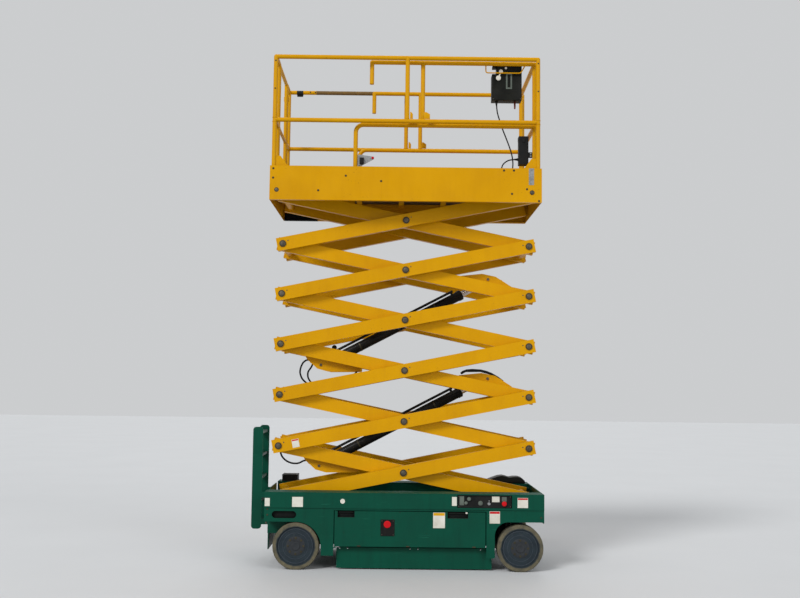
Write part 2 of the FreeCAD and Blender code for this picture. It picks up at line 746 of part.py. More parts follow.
def arm_tube(name, y, bores):
    """One rectangular arm tube centred on the origin, right side, with bushed cross bores."""
    inner, outer = f"-({y} + arm_thickness)", f"-({y})"
    reach = "arm_length / 2 + arm_overhang"
    solid = box(f"{name}_block", (f"-({reach})", reach), (inner, outer), ("-arm_height / 2", "arm_height / 2"))
    hollow = box(
        f"{name}_hollow",
        (f"-({reach}) + arm_wall", f"{reach} - arm_wall"),
        (f"{inner} + arm_wall", f"{outer} - arm_wall"),
        ("-arm_height / 2 + arm_wall", "arm_height / 2 - arm_wall"),
    )
    tube = cut(f"{name}_tube", solid, hollow)
    bushes = [
        bar(f"{name}_bush_{i}", "y", (x, inner, 0), "arm_thickness", "pin_radius + 10")
        for i, x in enumerate(("-arm_length / 2", "0", "arm_length / 2"))
    ]
    bushed = fuse(f"{name}_bushed", tube, *bushes)
    if not bores:
        return bushed
    holes = [
        bar(f"{name}_bore_{i}", "y", (x, f"{inner} - 1", 0), "arm_thickness + 2", "pin_bore")
        for i, x in enumerate(("-arm_length / 2", "0", "arm_length / 2"))
    ]
    return cut(f"{name}_bored", bushed, *holes)


def scissor_stack():
    """Six levels of crossed arm pairs: inner pairs rise to the rear, outer pairs to the front."""
    outer_tube = arm_tube("outer", "outer_arm_y", bores=False)
    inner_tube = arm_tube("inner", "inner_arm_y", bores=True)
    inner_left = mirror("inner_tube_left", inner_tube)
    ends = []
    for name, x in (("rear", "-arm_length / 2"), ("front", "arm_length / 2")):
        tube = bar(f"end_tube_{name}", "y", (x, "-inner_arm_y", 0), "2 * inner_arm_y", "cross_tube_radius")
        bore = bar(f"end_tube_bore_{name}", "y", (x, "-inner_arm_y", 0), "2 * inner_arm_y", "cross_tube_bore")
        ends.append(cut(f"end_tube_hollow_{name}", tube, bore))
    inner_pair = fuse("inner_pair", inner_tube, inner_left, *ends)

    for level in range(1, LEVELS + 1):
        centre_z = f"base_pin_z + ({level} - 0.5) * rise"
        pieces = [outer_tube]
        for spot, x in (("rear", "-arm_length / 2"), ("middle", "0"), ("front", "arm_length / 2")):
            end = "pin_end"
            inside = "inner_arm_y - gusset"
            if level == LEVELS and spot == "front":
                end = "outer_arm_y + arm_thickness + 22"
                inside = "outer_arm_y"
            if level == 1 and spot == "rear":
                inside = "inner_arm_y"
                pieces.append(bar("base_roller", "y", (x, "-(inner_arm_y + arm_thickness - 5)", 0), "arm_thickness - 10", "roller_radius"))
            pieces.append(bar(f"pin_{level}_{spot}", "y", (x, f"-({end})", 0), f"{end} - ({inside})", "pin_radius"))
            if end == "pin_end":
                pieces.append(bar(f"pin_boss_{level}_{spot}", "y", (x, f"-({end})", 0), "head_thickness + 1", "pin_radius + 7"))
        side_piece = fuse(f"outer_side_{level}", *pieces)
        pair = group(f"outer_level_{level}", side_piece, mirror(f"outer_mirror_{level}", side_piece))
        place(pair, "stack_centre", 0, centre_z, V(0, 1, 0), "-rest_angle")
        node(pair, f"outer_arms_{level}")

        extras = []
        whole = inner_pair
        if level in (1, 3, 5):
            extras += cylinder_mounts(level)
        if extras:
            whole = fuse(f"inner_whole_{level}", inner_pair, *extras)
        if level == LEVELS:
            whole = top_rollers(inner_tube, inner_left, ends)
        placed = group(f"inner_level_{level}", whole)
        place(placed, "stack_centre", 0, centre_z, V(0, 1, 0), "rest_angle")
        node(placed, f"inner_arms_{level}")


def top_rollers(inner_tube, inner_left, ends):
    """The top inner pair carries the rollers that run under the platform."""
    roller = fuse(
        "top_roller_right",
        bar("top_roller", "y", ("-arm_length / 2", "-(outer_arm_y + arm_thickness)", 0), "arm_thickness - 5", "roller_radius"),
        bar("top_roller_pin", "y", ("-arm_length / 2", "-(outer_arm_y + arm_thickness)", 0), "outer_arm_y + arm_thickness - inner_arm_y - 6", "pin_bore"),
    )
    return fuse("inner_pair_top", inner_tube, inner_left, *ends, roller, mirror("top_roller_left", roller))


def cylinder_mounts(level):
    """Cross tube and lugs for a cylinder's tail on levels 1 and 3, and for a rod's eye on 3 and 5."""
    mounts = []
    if level in (1, 3):
        mounts.append(("tail", "tail_u", "tail_n", "tail_tube_u", "tail_tube_n", True))
    if level in (3, 5):
        mounts.append(("eye", "eye_u", "eye_n", "eye_tube_u", "eye_tube_n", False))
    return [piece for mount in mounts for piece in one_mount(level, *mount)]


# Gusset outlines in the arm's own frame: along the arm, up from it
GUSSETS = {
    "tail": [(-940, -40), (-900, -86), (-790, -150), (-690, -156), (-400, -92), (-400, -40)],
    "eye": [(500, 40), (500, 66), (700, 130), (830, 130), (1000, 66), (1000, 40)],
}
GUSSET_PADS = {"tail": (-930, -410, -56, -42), "eye": (510, 990, 42, 56)}


def one_mount(level, name, u, n, tube_u, tube_n, with_pin):
    """Gussets under or over the arms, a cross tube between them and lugs beside the cylinder's eye."""
    pin_x, pin_z = u, n
    tube_x, tube_z = f"{u} + {tube_u}", f"{n} + {tube_n}"
    tag = f"{name}_{level}"
    half = "inner_arm_y - stack_clear"
    pieces = [bar(f"mount_tube_{tag}", "y", (tube_x, f"-({half})", tube_z), f"2 * ({half})", "mount_tube_radius")]
    low, high = ("eye_half + lug_gap + 3", "eye_half + lug_gap + 3 + lug_thickness")
    for side_name, a, b in (("right", f"-({high})", f"-({low})"), ("left", low, high)):
        pieces.append(
            box(
                f"lug_{tag}_{side_name}",
                (f"min({pin_x}; {tube_x})", f"max({pin_x}; {tube_x})"),
                (a, b),
                (f"{tube_z} - mount_tube_radius", f"{tube_z} + lug_radius - 12"),
            )
        )
        pieces.append(bar(f"lug_end_{tag}_{side_name}", "y", (pin_x, a, pin_z), "lug_thickness", "lug_radius"))
    if with_pin:
        pieces.append(bar(f"mount_pin_{tag}", "y", (pin_x, f"-({low})", pin_z), f"2 * ({low})", "eye_pin"))
    web = plate(f"gusset_{tag}", "XZ", GUSSETS[name], f"{half} - gusset", "gusset")
    start, end, bottom, top = GUSSET_PADS[name]
    pad = box(f"gusset_pad_{tag}", (start, end), ("-(inner_arm_y + 1)", f"-({half} - 1)"), (bottom, top))
    head = bar(f"gusset_head_{tag}", "y", (pin_x, f"-({half} + 4)", pin_z), 5, "small_head_radius")
    right = fuse(f"gusset_right_{tag}", web, pad, head)
    pieces += [right, mirror(f"gusset_left_{tag}", right)]
    if with_pin:
        clip = bar(f"hose_clip_{tag}", "y", (-430, f"-({half} - 1)", -72), f"{half} - 100", "clip_radius")
        pieces.append(clip)
    return pieces


def lift_cylinders():
    """Two cylinders, each from an inner pair to the inner pair two levels above."""
    across = "eye_u - tail_u"
    lift = "eye_n - tail_n"
    dx = f"({across}) * cos(rest_angle) + ({lift}) * sin(rest_angle)"
    dz = f"2 * rise - ({across}) * sin(rest_angle) + ({lift}) * cos(rest_angle)"
    reach = f"sqrt(({dx})^2 + ({dz})^2)"
    slope = f"atan2({dz}; {dx})"
    for name, level in (("lower", 1), ("upper", 3)):
        tail_x = "stack_centre + tail_u * cos(rest_angle) + tail_n * sin(rest_angle)"
        tail_z = f"base_pin_z + ({level} - 0.5) * rise - tail_u * sin(rest_angle) + tail_n * cos(rest_angle)"
        barrel = cut(
            f"{name}_barrel_whole",
            fuse(
                f"{name}_barrel_body",
                bar(f"{name}_tube", "x", ("tail_neck", 0, 0), "barrel_length - tail_neck", "barrel_radius"),
                bar(f"{name}_tail_eye", "y", (0, "-eye_half", 0), "2 * eye_half", "eye_radius"),
                bar(f"{name}_pipe", "x", (140, 0, "barrel_radius + transfer_pipe + 10"), "barrel_length - 200", "transfer_pipe"),
                bar(f"{name}_pipe_tail", "z", (160, 0, 0), "barrel_radius + transfer_pipe + 10", "transfer_pipe"),
                bar(f"{name}_pipe_head", "z", ("barrel_length - 80", 0, "barrel_radius - 10"), "transfer_pipe + 20", "transfer_pipe"),
                box(f"{name}_tail_block", (0, "tail_neck + 10"), ("-eye_half", "eye_half"), ("-eye_half", "eye_half")),
            ),
            bar(f"{name}_bore", "x", ("barrel_length - rod_inside - stroke_in", 0, 0), "rod_inside + stroke_in + 1", "rod_radius + running_gap"),
            bar(f"{name}_tail_bore", "y", (0, "-eye_half - 1", 0), "2 * eye_half + 2", "eye_pin + running_gap"),
        )
        placed = group(f"{name}_barrel_placed", barrel)
        place(placed, tail_x, 0, tail_z, V(0, 1, 0), f"-({slope})")
        node(placed, f"{name}_cylinder_barrel")
        eye = fuse(
            f"{name}_rod_whole",
            bar(f"{name}_rod_bar", "x", ("barrel_length - rod_inside", 0, 0), f"{reach} - barrel_length + rod_inside", "rod_radius"),
            bar(f"{name}_eye", "y", (reach, "-eye_half", 0), "2 * eye_half", "eye_radius"),
            bar(f"{name}_eye_pin", "y", (reach, "-eye_half - 3", 0), "2 * eye_half + 6", "eye_pin"),
        )
        rod = group(f"{name}_rod_placed", eye)
        place(rod, tail_x, 0, tail_z, V(0, 1, 0), f"-({slope})")
        node(rod, f"{name}_cylinder_rod")


def platform():
    """Platform frame with its deep side panels, deck, roller tracks, guardrails and gate."""
    face = "platform_width / 2"
    panel_right = fuse(
        "platform_panel_right",
        box("panel_web", ("deck_mid - platform_half", "deck_mid + platform_half"), (f"-{face}", f"-({face} - panel_skin)"), ("panel_bottom", "panel_top")),
        box("panel_lip_low", ("deck_mid - platform_half", "deck_mid + platform_half"), (f"-{face}", f"-({face} - panel_lip)"), ("panel_bottom", "panel_bottom + panel_skin")),
        box("top_track", ("deck_mid - platform_half", "track_end"), ("-(outer_arm_y + arm_thickness)", "-outer_arm_y"), ("top_pin_z + roller_radius + track_gap", "deck_underside")),
        cut(
            "top_bracket",
            box("top_bracket_plate", ("pin_front - 55", "deck_mid + platform_half - panel_skin"), ("-(outer_arm_y + arm_thickness + 20)", "-(outer_arm_y + arm_thickness + 8)"), ("top_pin_z - 45", "deck_underside")),
            bar("top_bracket_bore", "y", ("pin_front", "-(outer_arm_y + arm_thickness + 30)", "top_pin_z"), 40, "pin_bore"),
        ),
    )
    top_pin_head = bar("top_pin_head", "y", ("pin_front", f"-({face} + 3)", "top_pin_z"), "panel_skin", "head_radius")
    access_hole = bar("access_hole", "y", ("deck_mid + access_hole_x", f"-({face} + 1)", "top_pin_z"), "panel_skin + 2", "access_hole_radius")
    panel_right = cut("platform_panel_pierced", fuse("platform_panel_headed", panel_right, top_pin_head), access_hole)
    ends = [
        box(f"platform_end_{name}", xs, (f"-({face} - panel_skin)", f"{face} - panel_skin"), ("deck_underside - end_plate_depth", "panel_top" if name == "rear" else "deck_top"))
        for name, xs in (
            ("rear", ("deck_mid - platform_half", "deck_mid - platform_half + panel_skin")),
            ("front", ("deck_mid + platform_half - panel_skin", "deck_mid + platform_half")),
        )
    ]
    ribs = [
        box(f"rib_{index}", (f"deck_mid + {x}", f"deck_mid + {x} + rib_width"), (f"-({face} - panel_skin)", f"{face} - panel_skin"), ("deck_underside - rib_depth", "deck_underside"))
        for index, x in enumerate((-480, -60, 360, 780))
    ]
    deck = box("deck_plate", ("deck_mid - platform_half + panel_skin", "deck_mid + platform_half - panel_skin"), (f"-({face} - panel_skin)", f"{face} - panel_skin"), ("deck_underside", "deck_top"))
    node(fuse("platform_whole", panel_right, mirror("platform_panel_left", panel_right), *ends, *ribs), "platform_frame")
    tread = box("deck_tread", ("deck_mid - platform_half + panel_skin + 60", "deck_mid + slide_deck_rear - 20"), ("-slide_deck_half", "slide_deck_half"), ("deck_top - 1", "deck_top + tread_thickness"))
    node(fuse("deck_with_tread", deck, tread), "platform_deck")

    rails = [
        bar("rail_top", "x", ("deck_mid - post_x", "-rail_half", "rail_top"), "2 * post_x", "rail_radius"),
        bar("rail_mid", "x", ("deck_mid - post_x", "-rail_half", "mid_rail_z"), "2 * post_x", "rail_radius"),
        bar("rail_post_rear", "z", ("deck_mid - post_x", "-rail_half", "deck_top"), "rail_top - deck_top", "rail_radius"),
        bar("rail_post_front", "z", ("deck_mid + post_x", "-rail_half", "deck_top"), "rail_top - deck_top", "rail_radius"),
        bar("rail_post_mid", "z", ("deck_mid + mid_post_x", "-rail_half", "mid_rail_z"), "rail_top - mid_rail_z", "rail_radius"),
    ]
    corners = []
    for index, x in enumerate(("deck_mid - post_x", "deck_mid + post_x")):
        corners.append(ball_at(f"rail_corner_{index}", x, "-rail_half", "rail_top", "rail_radius"))
    stubs = []
    for name, z in (("top", "rail_top"), ("mid", "mid_rail_z")):
        stubs.append(bar(f"rear_stub_{name}", "y", ("deck_mid - post_x", "-rail_half", z), "rail_half - gate_post_y", "rail_radius"))
    stubs.append(bar("gate_post", "z", ("deck_mid - post_x", "-gate_post_y", "deck_top"), "rail_top - deck_top", "rail_radius"))
    corners.append(ball_at("gate_post_head", "deck_mid - post_x", "-gate_post_y", "rail_top", "rail_radius"))
    for name, side_of_post, sign in (("rear", "deck_mid - post_x", 1), ("front", "deck_mid + post_x", -1)):
        corner = [
            (f"{side_of_post} + {sign} * 12", "panel_top + rail_seat"),
            (f"{side_of_post} + {sign} * 130", "panel_top + rail_seat"),
            (f"{side_of_post} + {sign} * 60", "panel_top + 95"),
            (f"{side_of_post} + {sign} * 12", "panel_top + 95"),
        ]
        stubs.append(plate(f"corner_plate_{name}", "XZ", corner, "rail_half", "corner_plate"))
    right = fuse("guardrail_right_whole", *rails, *corners, *stubs)
    node(right, "guardrail_right")
    node(mirror("guardrail_mirror", right), "guardrail_left")

    gate_x = "deck_mid - post_x"
    gate_y = "gate_half - gate_radius"
    gate_low = "panel_top + 60"
    pieces = []
    for name, z, radius in (("top", "rail_top", "gate_radius"), ("mid", "mid_rail_z", "gate_radius - 2"), ("low", gate_low, "gate_radius")):
        pieces.append(bar(f"gate_{name}", "y", (gate_x, f"-({gate_y})", z), f"2 * ({gate_y})", radius))
    for name, sign in (("right", "-"), ("left", "")):
        pieces.append(bar(f"gate_side_{name}", "z", (gate_x, f"{sign}({gate_y})", gate_low), f"rail_top - ({gate_low})", "gate_radius"))
        for end, z in (("top", "rail_top"), ("low", gate_low)):
            pieces.append(ball_at(f"gate_corner_{name}_{end}", gate_x, f"{sign}({gate_y})", z, "gate_radius"))
    for name, z in (("upper", "rail_top - 160"), ("lower", gate_low + " + 60")):
        strap = bar(f"gate_strap_{name}", "y", (gate_x, gate_y, f"{z} + 20"), "gate_post_y - gate_half", 8)
        pieces += [bar(f"gate_sleeve_{name}", "z", (gate_x, "gate_post_y", z), 40, "rail_radius + 6"), strap]
    post_space = bar("gate_post_space", "z", (gate_x, "gate_post_y", "panel_top"), "rail_top - panel_top", "rail_radius + running_gap")
    node(cut("gate_finished", fuse("gate_whole", *pieces), post_space), "entry_gate")


def extension():
    """Deck that slides out to the front with its own guardrails inside the fixed ones."""
    plate_box = box("slide_plate", ("deck_mid + slide_deck_rear", "deck_mid + slide_deck_front"), ("-slide_deck_half", "slide_deck_half"), ("slide_deck_z", "slide_top"))
    toe = box("slide_toe", ("deck_mid + slide_deck_front - 8", "deck_mid + slide_deck_front"), ("-slide_deck_half", "slide_deck_half"), ("slide_deck_z", "panel_top"))
    runners = [
        box(f"slide_runner_{name}", ("deck_mid + slide_deck_rear + 20", "deck_mid + slide_deck_front - 60"), (low, high), ("deck_top + rail_seat", "slide_deck_z"))
        for name, low, high in (("right", "-slide_deck_half + 10", "-slide_deck_half + 50"), ("left", "slide_deck_half - 50", "slide_deck_half - 10"))
    ]
    tread = box("slide_tread", ("deck_mid + slide_leg_x + 30", "deck_mid + slide_front_x - 40"), ("-tread_half", "tread_half"), ("slide_top - 1", "slide_top + tread_thickness"))
    node(fuse("slide_deck_whole", plate_box, toe, tread, *runners), "extension_deck")
    top = "rail_top - slide_rail_drop"
    middle = "mid_rail_z - slide_rail_drop"
    side_rails = [
        bar("slide_top_rail", "x", ("deck_mid + stub_x", "-slide_rail_half", top), "slide_front_x - stub_x", "rail_radius"),
        bar("slide_stub", "z", ("deck_mid + stub_x", "-slide_rail_half", "stub_bottom"), f"{top} - stub_bottom", "rail_radius"),
        bar("slide_mid_rail", "x", ("deck_mid + slide_leg_x + leg_bend", "-slide_rail_half", middle), "slide_front_x - slide_leg_x - leg_bend", "rail_radius"),
        elbow("slide_bend", ("deck_mid + slide_leg_x + leg_bend", "-slide_rail_half", f"{middle} - leg_bend"), "leg_bend", "rail_radius", V(1, 0, 0), 90, 90),
        bar("slide_leg", "z", ("deck_mid + slide_leg_x", "-slide_rail_half", "slide_top"), f"{middle} - leg_bend - slide_top", "rail_radius"),
        bar("slide_post", "z", ("deck_mid + slide_post_x", "-slide_rail_half", middle), f"{top} - ({middle})", "rail_radius"),
        bar("slide_front_post", "z", ("deck_mid + slide_front_x", "-slide_rail_half", "slide_top"), f"{top} - slide_top", "rail_radius"),
    ]
    for index, x in enumerate(("deck_mid + stub_x", "deck_mid + slide_front_x")):
        side_rails.append(ball_at(f"slide_corner_{index}", x, "-slide_rail_half", top, "rail_radius"))
    right = fuse("slide_rails_right", *side_rails)
    cross = [
        bar(f"slide_cross_{name}", "y", ("deck_mid + slide_front_x", "-slide_rail_half", z), "2 * slide_rail_half", "rail_radius")
        for name, z in (("top", top), ("mid", middle))
    ]
    node(fuse("slide_rails_whole", right, mirror("slide_rails_left", right), *cross), "extension_rails")

    control = box("control_box_block", ("deck_mid + box_rear", "deck_mid + box_front"), ("-(slide_rail_half - rail_radius - rail_seat)", "-(slide_rail_half - rail_radius - box_depth)"), ("box_bottom", "box_top - 10"))
    node(control, "control_box")
    outer_face = "slide_rail_half - 10"
    socket_box = box("socket_box_block", ("deck_mid + socket_box_rear", "deck_mid + socket_box_front"), (f"-({outer_face})", f"-({outer_face} - socket_box_depth)"), ("socket_box_bottom", "socket_box_top"))
    hanger = box("socket_box_hanger", ("deck_mid + socket_box_front - 1", "deck_mid + slide_front_x - rail_radius - rail_seat"), ("-(slide_rail_half + 4)", "-(slide_rail_half - 12)"), ("socket_box_bottom + 60", "socket_box_bottom + 110"))
    node(fuse("socket_box_whole", socket_box, hanger), "document_box")

    leg_face = "deck_mid + slide_leg_x + rail_radius + rail_seat"
    latch_outline = [
        (leg_face, "panel_top + 22"),
        (f"{leg_face} + 26", "panel_top + 22"),
        (f"{leg_face} + 150", "panel_top + 92"),
        (f"{leg_face} + 150", "panel_top + 112"),
        (f"{leg_face} + 26", "panel_top + 130"),
        (leg_face, "panel_top + 130"),
    ]
    latch = plate("latch_plate", "XZ", latch_outline, "slide_rail_half - 4", 8)
    grip = bar("latch_grip", "y", (f"{leg_face} + 138", "-(slide_rail_half + 14)", "panel_top + 101"), 36, 9)
    one = fuse("latch_right", latch, grip)
    node(group("latch_pair", one, mirror("latch_left", one)), "latch_levers")


def ladder():
    """Boarding ladder with plate sides and five steps behind the chassis."""
    back = "mid - half_length - ladder_reach"
    outline = [
        (back, "ladder_bottom"),
        (f"{back} + ladder_depth", "ladder_bottom"),
        (f"{back} + ladder_depth", "ladder_top"),
        (back, "ladder_top"),
    ]
    rounds = tuple((corner, "ladder_corner") for corner in range(4))
    side_plate = plate("ladder_side", "XZ", outline, "ladder_half - ladder_plate", "ladder_plate", rounds=rounds)
    brackets = [
        box(
            f"ladder_bracket_{name}",
            (f"{back} + ladder_depth - 5", "mid - half_length"),
            ("-ladder_half", "-(ladder_half - ladder_plate)"),
            (low, f"{low} + bracket_height"),
        )
        for name, low in (("upper", "chassis_top - 90"), ("lower", "ladder_bottom + 40"))
    ]
    right = fuse("ladder_right", side_plate, *brackets)
    steps = [
        box(
            f"step_{index}",
            (f"{back} + 8", f"{back} + 8 + step_depth"),
            ("-ladder_half + ladder_plate", "ladder_half - ladder_plate"),
            (f"ladder_bottom + 30 + {index} * step_pitch", f"ladder_bottom + 30 + {index} * step_pitch + step_thickness"),
        )
        for index in range(5)
    ]
    node(fuse("ladder_whole", right, mirror("ladder_left", right), *steps), "ladder")


def fittings():
    """Boxes and controls on the chassis."""
    panel = box("ground_panel", ("mid + panel_rear + 1", "mid + panel_front - 1"), ("-(side - 15)", "-(side - 15 - ground_panel_depth)"), ("ground_panel_bottom + 1", "ground_panel_top - 1"))
    back = box("ground_panel_back", ("mid + panel_rear - 20", "mid + panel_front + 20"), ("-(panel_face - skin)", "-(panel_face - skin - 6)"), ("ground_panel_bottom - 10", "chassis_top - skin"))
    node(fuse("ground_controls_whole", panel, back), "ground_controls")
    valve = box("valve_block", ("mid + valve_rear", "mid + valve_front"), ("bay_half + 10", "side - 30"), ("chassis_top", "valve_top"))
    node(valve, "valve_cover")
    charger = box("charger_block", ("mid + charger_rear", "mid + charger_front"), ("bay_half + 10", "side - 30"), ("chassis_top", "charger_top"))
    node(charger, "charger_box")
    pack_right = box("battery_right", ("mid + bulkhead_rear + battery_gap_rear", "mid + bulkhead_front - battery_gap_front"), ("-(panel_face - door_depth - 10)", "-(bay_half + skin)"), ("beam_bottom + skin", "beam_bottom + skin + 260"))
    node(group("battery_pair", pack_right, mirror("battery_left", pack_right)), "battery_packs")
    plate_box = box("stop_plate", ("mid + stop_plate_rear", "mid + stop_plate_front"), ("-(side - 2)", "-panel_face"), ("stop_plate_bottom", "stop_plate_top"))
    button = bar("stop_button", "y", ("mid + stop_button_x", "-side", "stop_button_z"), 4, "stop_button_radius")
    node(fuse("stop_switch_whole", plate_box, button), "stop_switch")


# Hose routes in the arm's own frame: along the arm, up from it
HOSES = {
    "outer": [(-876.4, -88), (-908, -90), (-937, -119), (-950, -170), (-947, -222), (-915, -274),
              (-858, -306), (-785, -314), (-700, -290), (-620, -230), (-545, -186), (-492, -161), (-451, -135), (-434, -107), (-431, -84)],
    "inner": [(-850, -114.5), (-857, -150), (-880, -200), (-868, -250), (-830, -290), (-772, -300),
              (-700, -268), (-625, -214), (-550, -178), (-494, -156), (-452, -132), (-434, -106), (-431, -84)],
    "base": [(-1155, -40), (-1146, -70), (-1122, -108), (-1076, -138), (-1020, -148), (-962, -138), (-914, -98), (-878, -91)],
}
# Control cable from the box down behind the panel and back up: along, across, up
CABLE = [
    (896, -420, 4246.5), (897, -420, 4205), (904, -420, 4140), (926, -421, 4068), (948, -421, 3999),
    (985, -422, 3905), (1020, -424, 3812), (1043, -428, 3730), (1050, -434, 3650), (1040, -438, 3590),
    (1018, -441, 3556), (986, -443, 3542), (954, -443, 3556), (940, -441, 3592), (950, -436, 3650), (998, -430, 3691), (1050, -428, 3702), (1096.7, -428, 3702),
]


def cord(name, points, radius):
    """A tube along straight runs joined by arcs as large as the runs allow."""
    path = [V(*point) for point in points]
    edges = []
    at = path[0]
    radii = []
    for index in range(1, len(path) - 1):
        before = path[index] - path[index - 1]
        after = path[index + 1] - path[index]
        half = before.getAngle(after) / 2
        bend = 0.45 * min(before.Length, after.Length) / math.tan(half)
        radii.append(round(bend))
        setback = bend * math.tan(half)
        first = path[index] - before.normalize() * setback
        last = path[index] + after.normalize() * setback
        inward = (after - before).normalize()
        middle = path[index] + inward * (bend / math.cos(half) - bend)
        edges.append(Part.LineSegment(at, first).toShape())
        edges.append(Part.Arc(first, middle, last).toShape())
        at = last
    edges.append(Part.LineSegment(at, path[-1]).toShape())
    wire = Part.Wire(edges)
    ring = Part.Wire(Part.makeCircle(radius, path[0], path[1] - path[0]))
    item = document.addObject("Part::Feature", name)
    item.Shape = wire.makePipeShell([ring], True, False)
    expected = math.pi * radius**2 * wire.Length
    if abs(item.Shape.Volume / expected - 1) > 0.01:
        print(name, "volume is off by", item.Shape.Volume / expected)
        sys.exit(1)
    print(name, "bend radii", radii)
    return item


def hoses_and_cable():
    """Hoses that the arms hold, and the control cable on the sliding deck."""
    radius = number("hose_radius")
    side_y = -number("hose_side")
    step = number("hose_pitch")
    outer = cord("hose_outer", [(u, side_y, n) for u, n in HOSES["outer"]], radius)
    inner = cord("hose_inner", [(u, side_y + step, n) for u, n in HOSES["inner"]], radius)
    base = cord("hose_base", [(u, side_y, n) for u, n in HOSES["base"]], radius)
    for name, level, pieces in (("hoses_middle", 3, [outer, inner]), ("hoses_base", 1, [base])):
        placed = group(f"{name}_placed", *pieces)
        place(placed, "stack_centre", 0, f"base_pin_z + ({level} - 0.5) * rise", V(0, 1, 0), "rest_angle")
        node(placed, name)
    node(cord("cable", CABLE, number("cable_radius")), "control_cable")


chassis()
stack_mounts()
axles()
doors_and_guards()
scissor_stack()
lift_cylinders()
platform()
extension()
ladder()
fittings()
hoses_and_cable()
document.recompute()

faults = [f"{item.Name}: {item.State}" for item in document.Objects if "Invalid" in item.State or "Error" in item.State]
faults += [f"{item.Label}: no valid shape" for item in nodes if item.Shape.isNull() or not item.Shape.isValid()]
if faults:
    print("\n".join(faults))
    sys.exit(1)
os.makedirs("parts", exist_ok=True)
for item in nodes:
    item.Shape.exportStep(os.path.join("parts", item.Label + ".step"))
print(len(nodes), "sub-parts")
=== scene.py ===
import json
import math
import bpy
import bmesh
from mathutils import Euler, Matrix, Vector

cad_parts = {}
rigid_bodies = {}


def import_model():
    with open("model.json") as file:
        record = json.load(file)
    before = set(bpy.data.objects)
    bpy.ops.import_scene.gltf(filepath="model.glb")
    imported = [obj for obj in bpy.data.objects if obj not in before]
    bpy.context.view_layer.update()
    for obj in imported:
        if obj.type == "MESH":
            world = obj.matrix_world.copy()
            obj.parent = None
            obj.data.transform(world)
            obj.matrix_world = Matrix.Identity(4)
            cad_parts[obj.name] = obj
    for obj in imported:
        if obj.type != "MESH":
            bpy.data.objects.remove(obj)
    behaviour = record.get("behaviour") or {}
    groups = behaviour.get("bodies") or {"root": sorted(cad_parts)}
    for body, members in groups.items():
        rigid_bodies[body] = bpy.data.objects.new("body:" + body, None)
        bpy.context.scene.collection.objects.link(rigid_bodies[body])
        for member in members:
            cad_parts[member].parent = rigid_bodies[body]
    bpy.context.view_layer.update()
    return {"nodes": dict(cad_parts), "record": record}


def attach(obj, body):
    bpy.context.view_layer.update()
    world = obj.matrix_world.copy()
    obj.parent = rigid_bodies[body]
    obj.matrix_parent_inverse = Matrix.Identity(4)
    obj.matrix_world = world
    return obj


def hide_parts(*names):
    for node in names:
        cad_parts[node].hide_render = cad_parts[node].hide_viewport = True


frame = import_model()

nodes = frame["nodes"]


cameraLook = {
    "place": (-0.0076, -9.4785, 1.6047),
    "pitch": 5.008,
    "yaw": -0.189,
    "roll": 0.67,
    "lens": 44.89,
}


def addCamera(look):
    data = bpy.data.cameras.new("photoCamera")
    data.lens = look["lens"]
    data.sensor_width = 36
    data.clip_end = 200
    camera = bpy.data.objects.new("photoCamera", data)
    bpy.context.scene.collection.objects.link(camera)
    turn = Euler((math.radians(90 + look["pitch"]), 0, math.radians(look["yaw"]))).to_matrix().to_4x4()
    camera.matrix_world = Matrix.Translation(look["place"]) @ turn @ Matrix.Rotation(math.radians(look["roll"]), 4, "Z")
    bpy.context.scene.camera = camera
    print("camera placed")


addCamera(cameraLook)


# helpers for the shapes
def deselectAll():
    if bpy.context.object and bpy.context.object.mode != "OBJECT":
        bpy.ops.object.mode_set(mode="OBJECT")
    bpy.ops.object.select_all(action="DESELECT")


def only(piece):
    deselectAll()
    piece.select_set(True)
    bpy.context.view_layer.objects.active = piece


def named(name):
    piece = bpy.context.object
    piece.name = name
    piece.data.name = name
    return piece


def placeInMesh(piece):
    only(piece)
    bpy.ops.object.transform_apply(location=True, rotation=True, scale=True)


def applyAll(piece):
    only(piece)
    for modifier in list(piece.modifiers):
        bpy.ops.object.modifier_apply(modifier=modifier.name)


def softenEdges(piece, width, segments=2, angle=40):
    bevel = piece.modifiers.new("softEdge", "BEVEL")
    bevel.width = width
    bevel.segments = segments
    bevel.limit_method = "ANGLE"
    bevel.angle_limit = math.radians(angle)
    applyAll(piece)


def smooth(piece, angle=35):
    only(piece)
    bpy.ops.object.shade_smooth_by_angle(angle=math.radians(angle))


def pickFaces(piece, test):
    only(piece)
    bpy.ops.object.mode_set(mode="EDIT")
    bpy.ops.mesh.select_mode(type="FACE")
    bpy.ops.mesh.select_all(action="DESELECT")
    mesh = bmesh.from_edit_mesh(piece.data)
    for face in mesh.faces:
        face.select = bool(test(face.calc_center_median(), face.normal))
    bmesh.update_edit_mesh(piece.data)


def backToObject():
    bpy.ops.object.mode_set(mode="OBJECT")


def block(name, low, high):
    deselectAll()
    centre = [(a + b) / 2 for a, b in zip(low, high)]
    bpy.ops.mesh.primitive_cube_add(size=1, location=centre)
    piece = named(name)
    piece.scale = [b - a for a, b in zip(low, high)]
    placeInMesh(piece)
    return piece


turnTo = {"x": (0, math.pi / 2, 0), "y": (math.pi / 2, 0, 0), "z": (0, 0, 0)}


def disc(name, centre, radius, depth, along="y", sides=32):
    deselectAll()
    bpy.ops.mesh.primitive_cylinder_add(vertices=sides, radius=radius, depth=depth, location=centre, rotation=turnTo[along])
    piece = named(name)
    placeInMesh(piece)
    return piece


def joined(name, pieces):
    deselectAll()
    for piece in pieces:
        piece.select_set(True)
    bpy.context.view_layer.objects.active = pieces[0]
    if len(pieces) > 1:
        bpy.ops.object.join()
    return named(name)


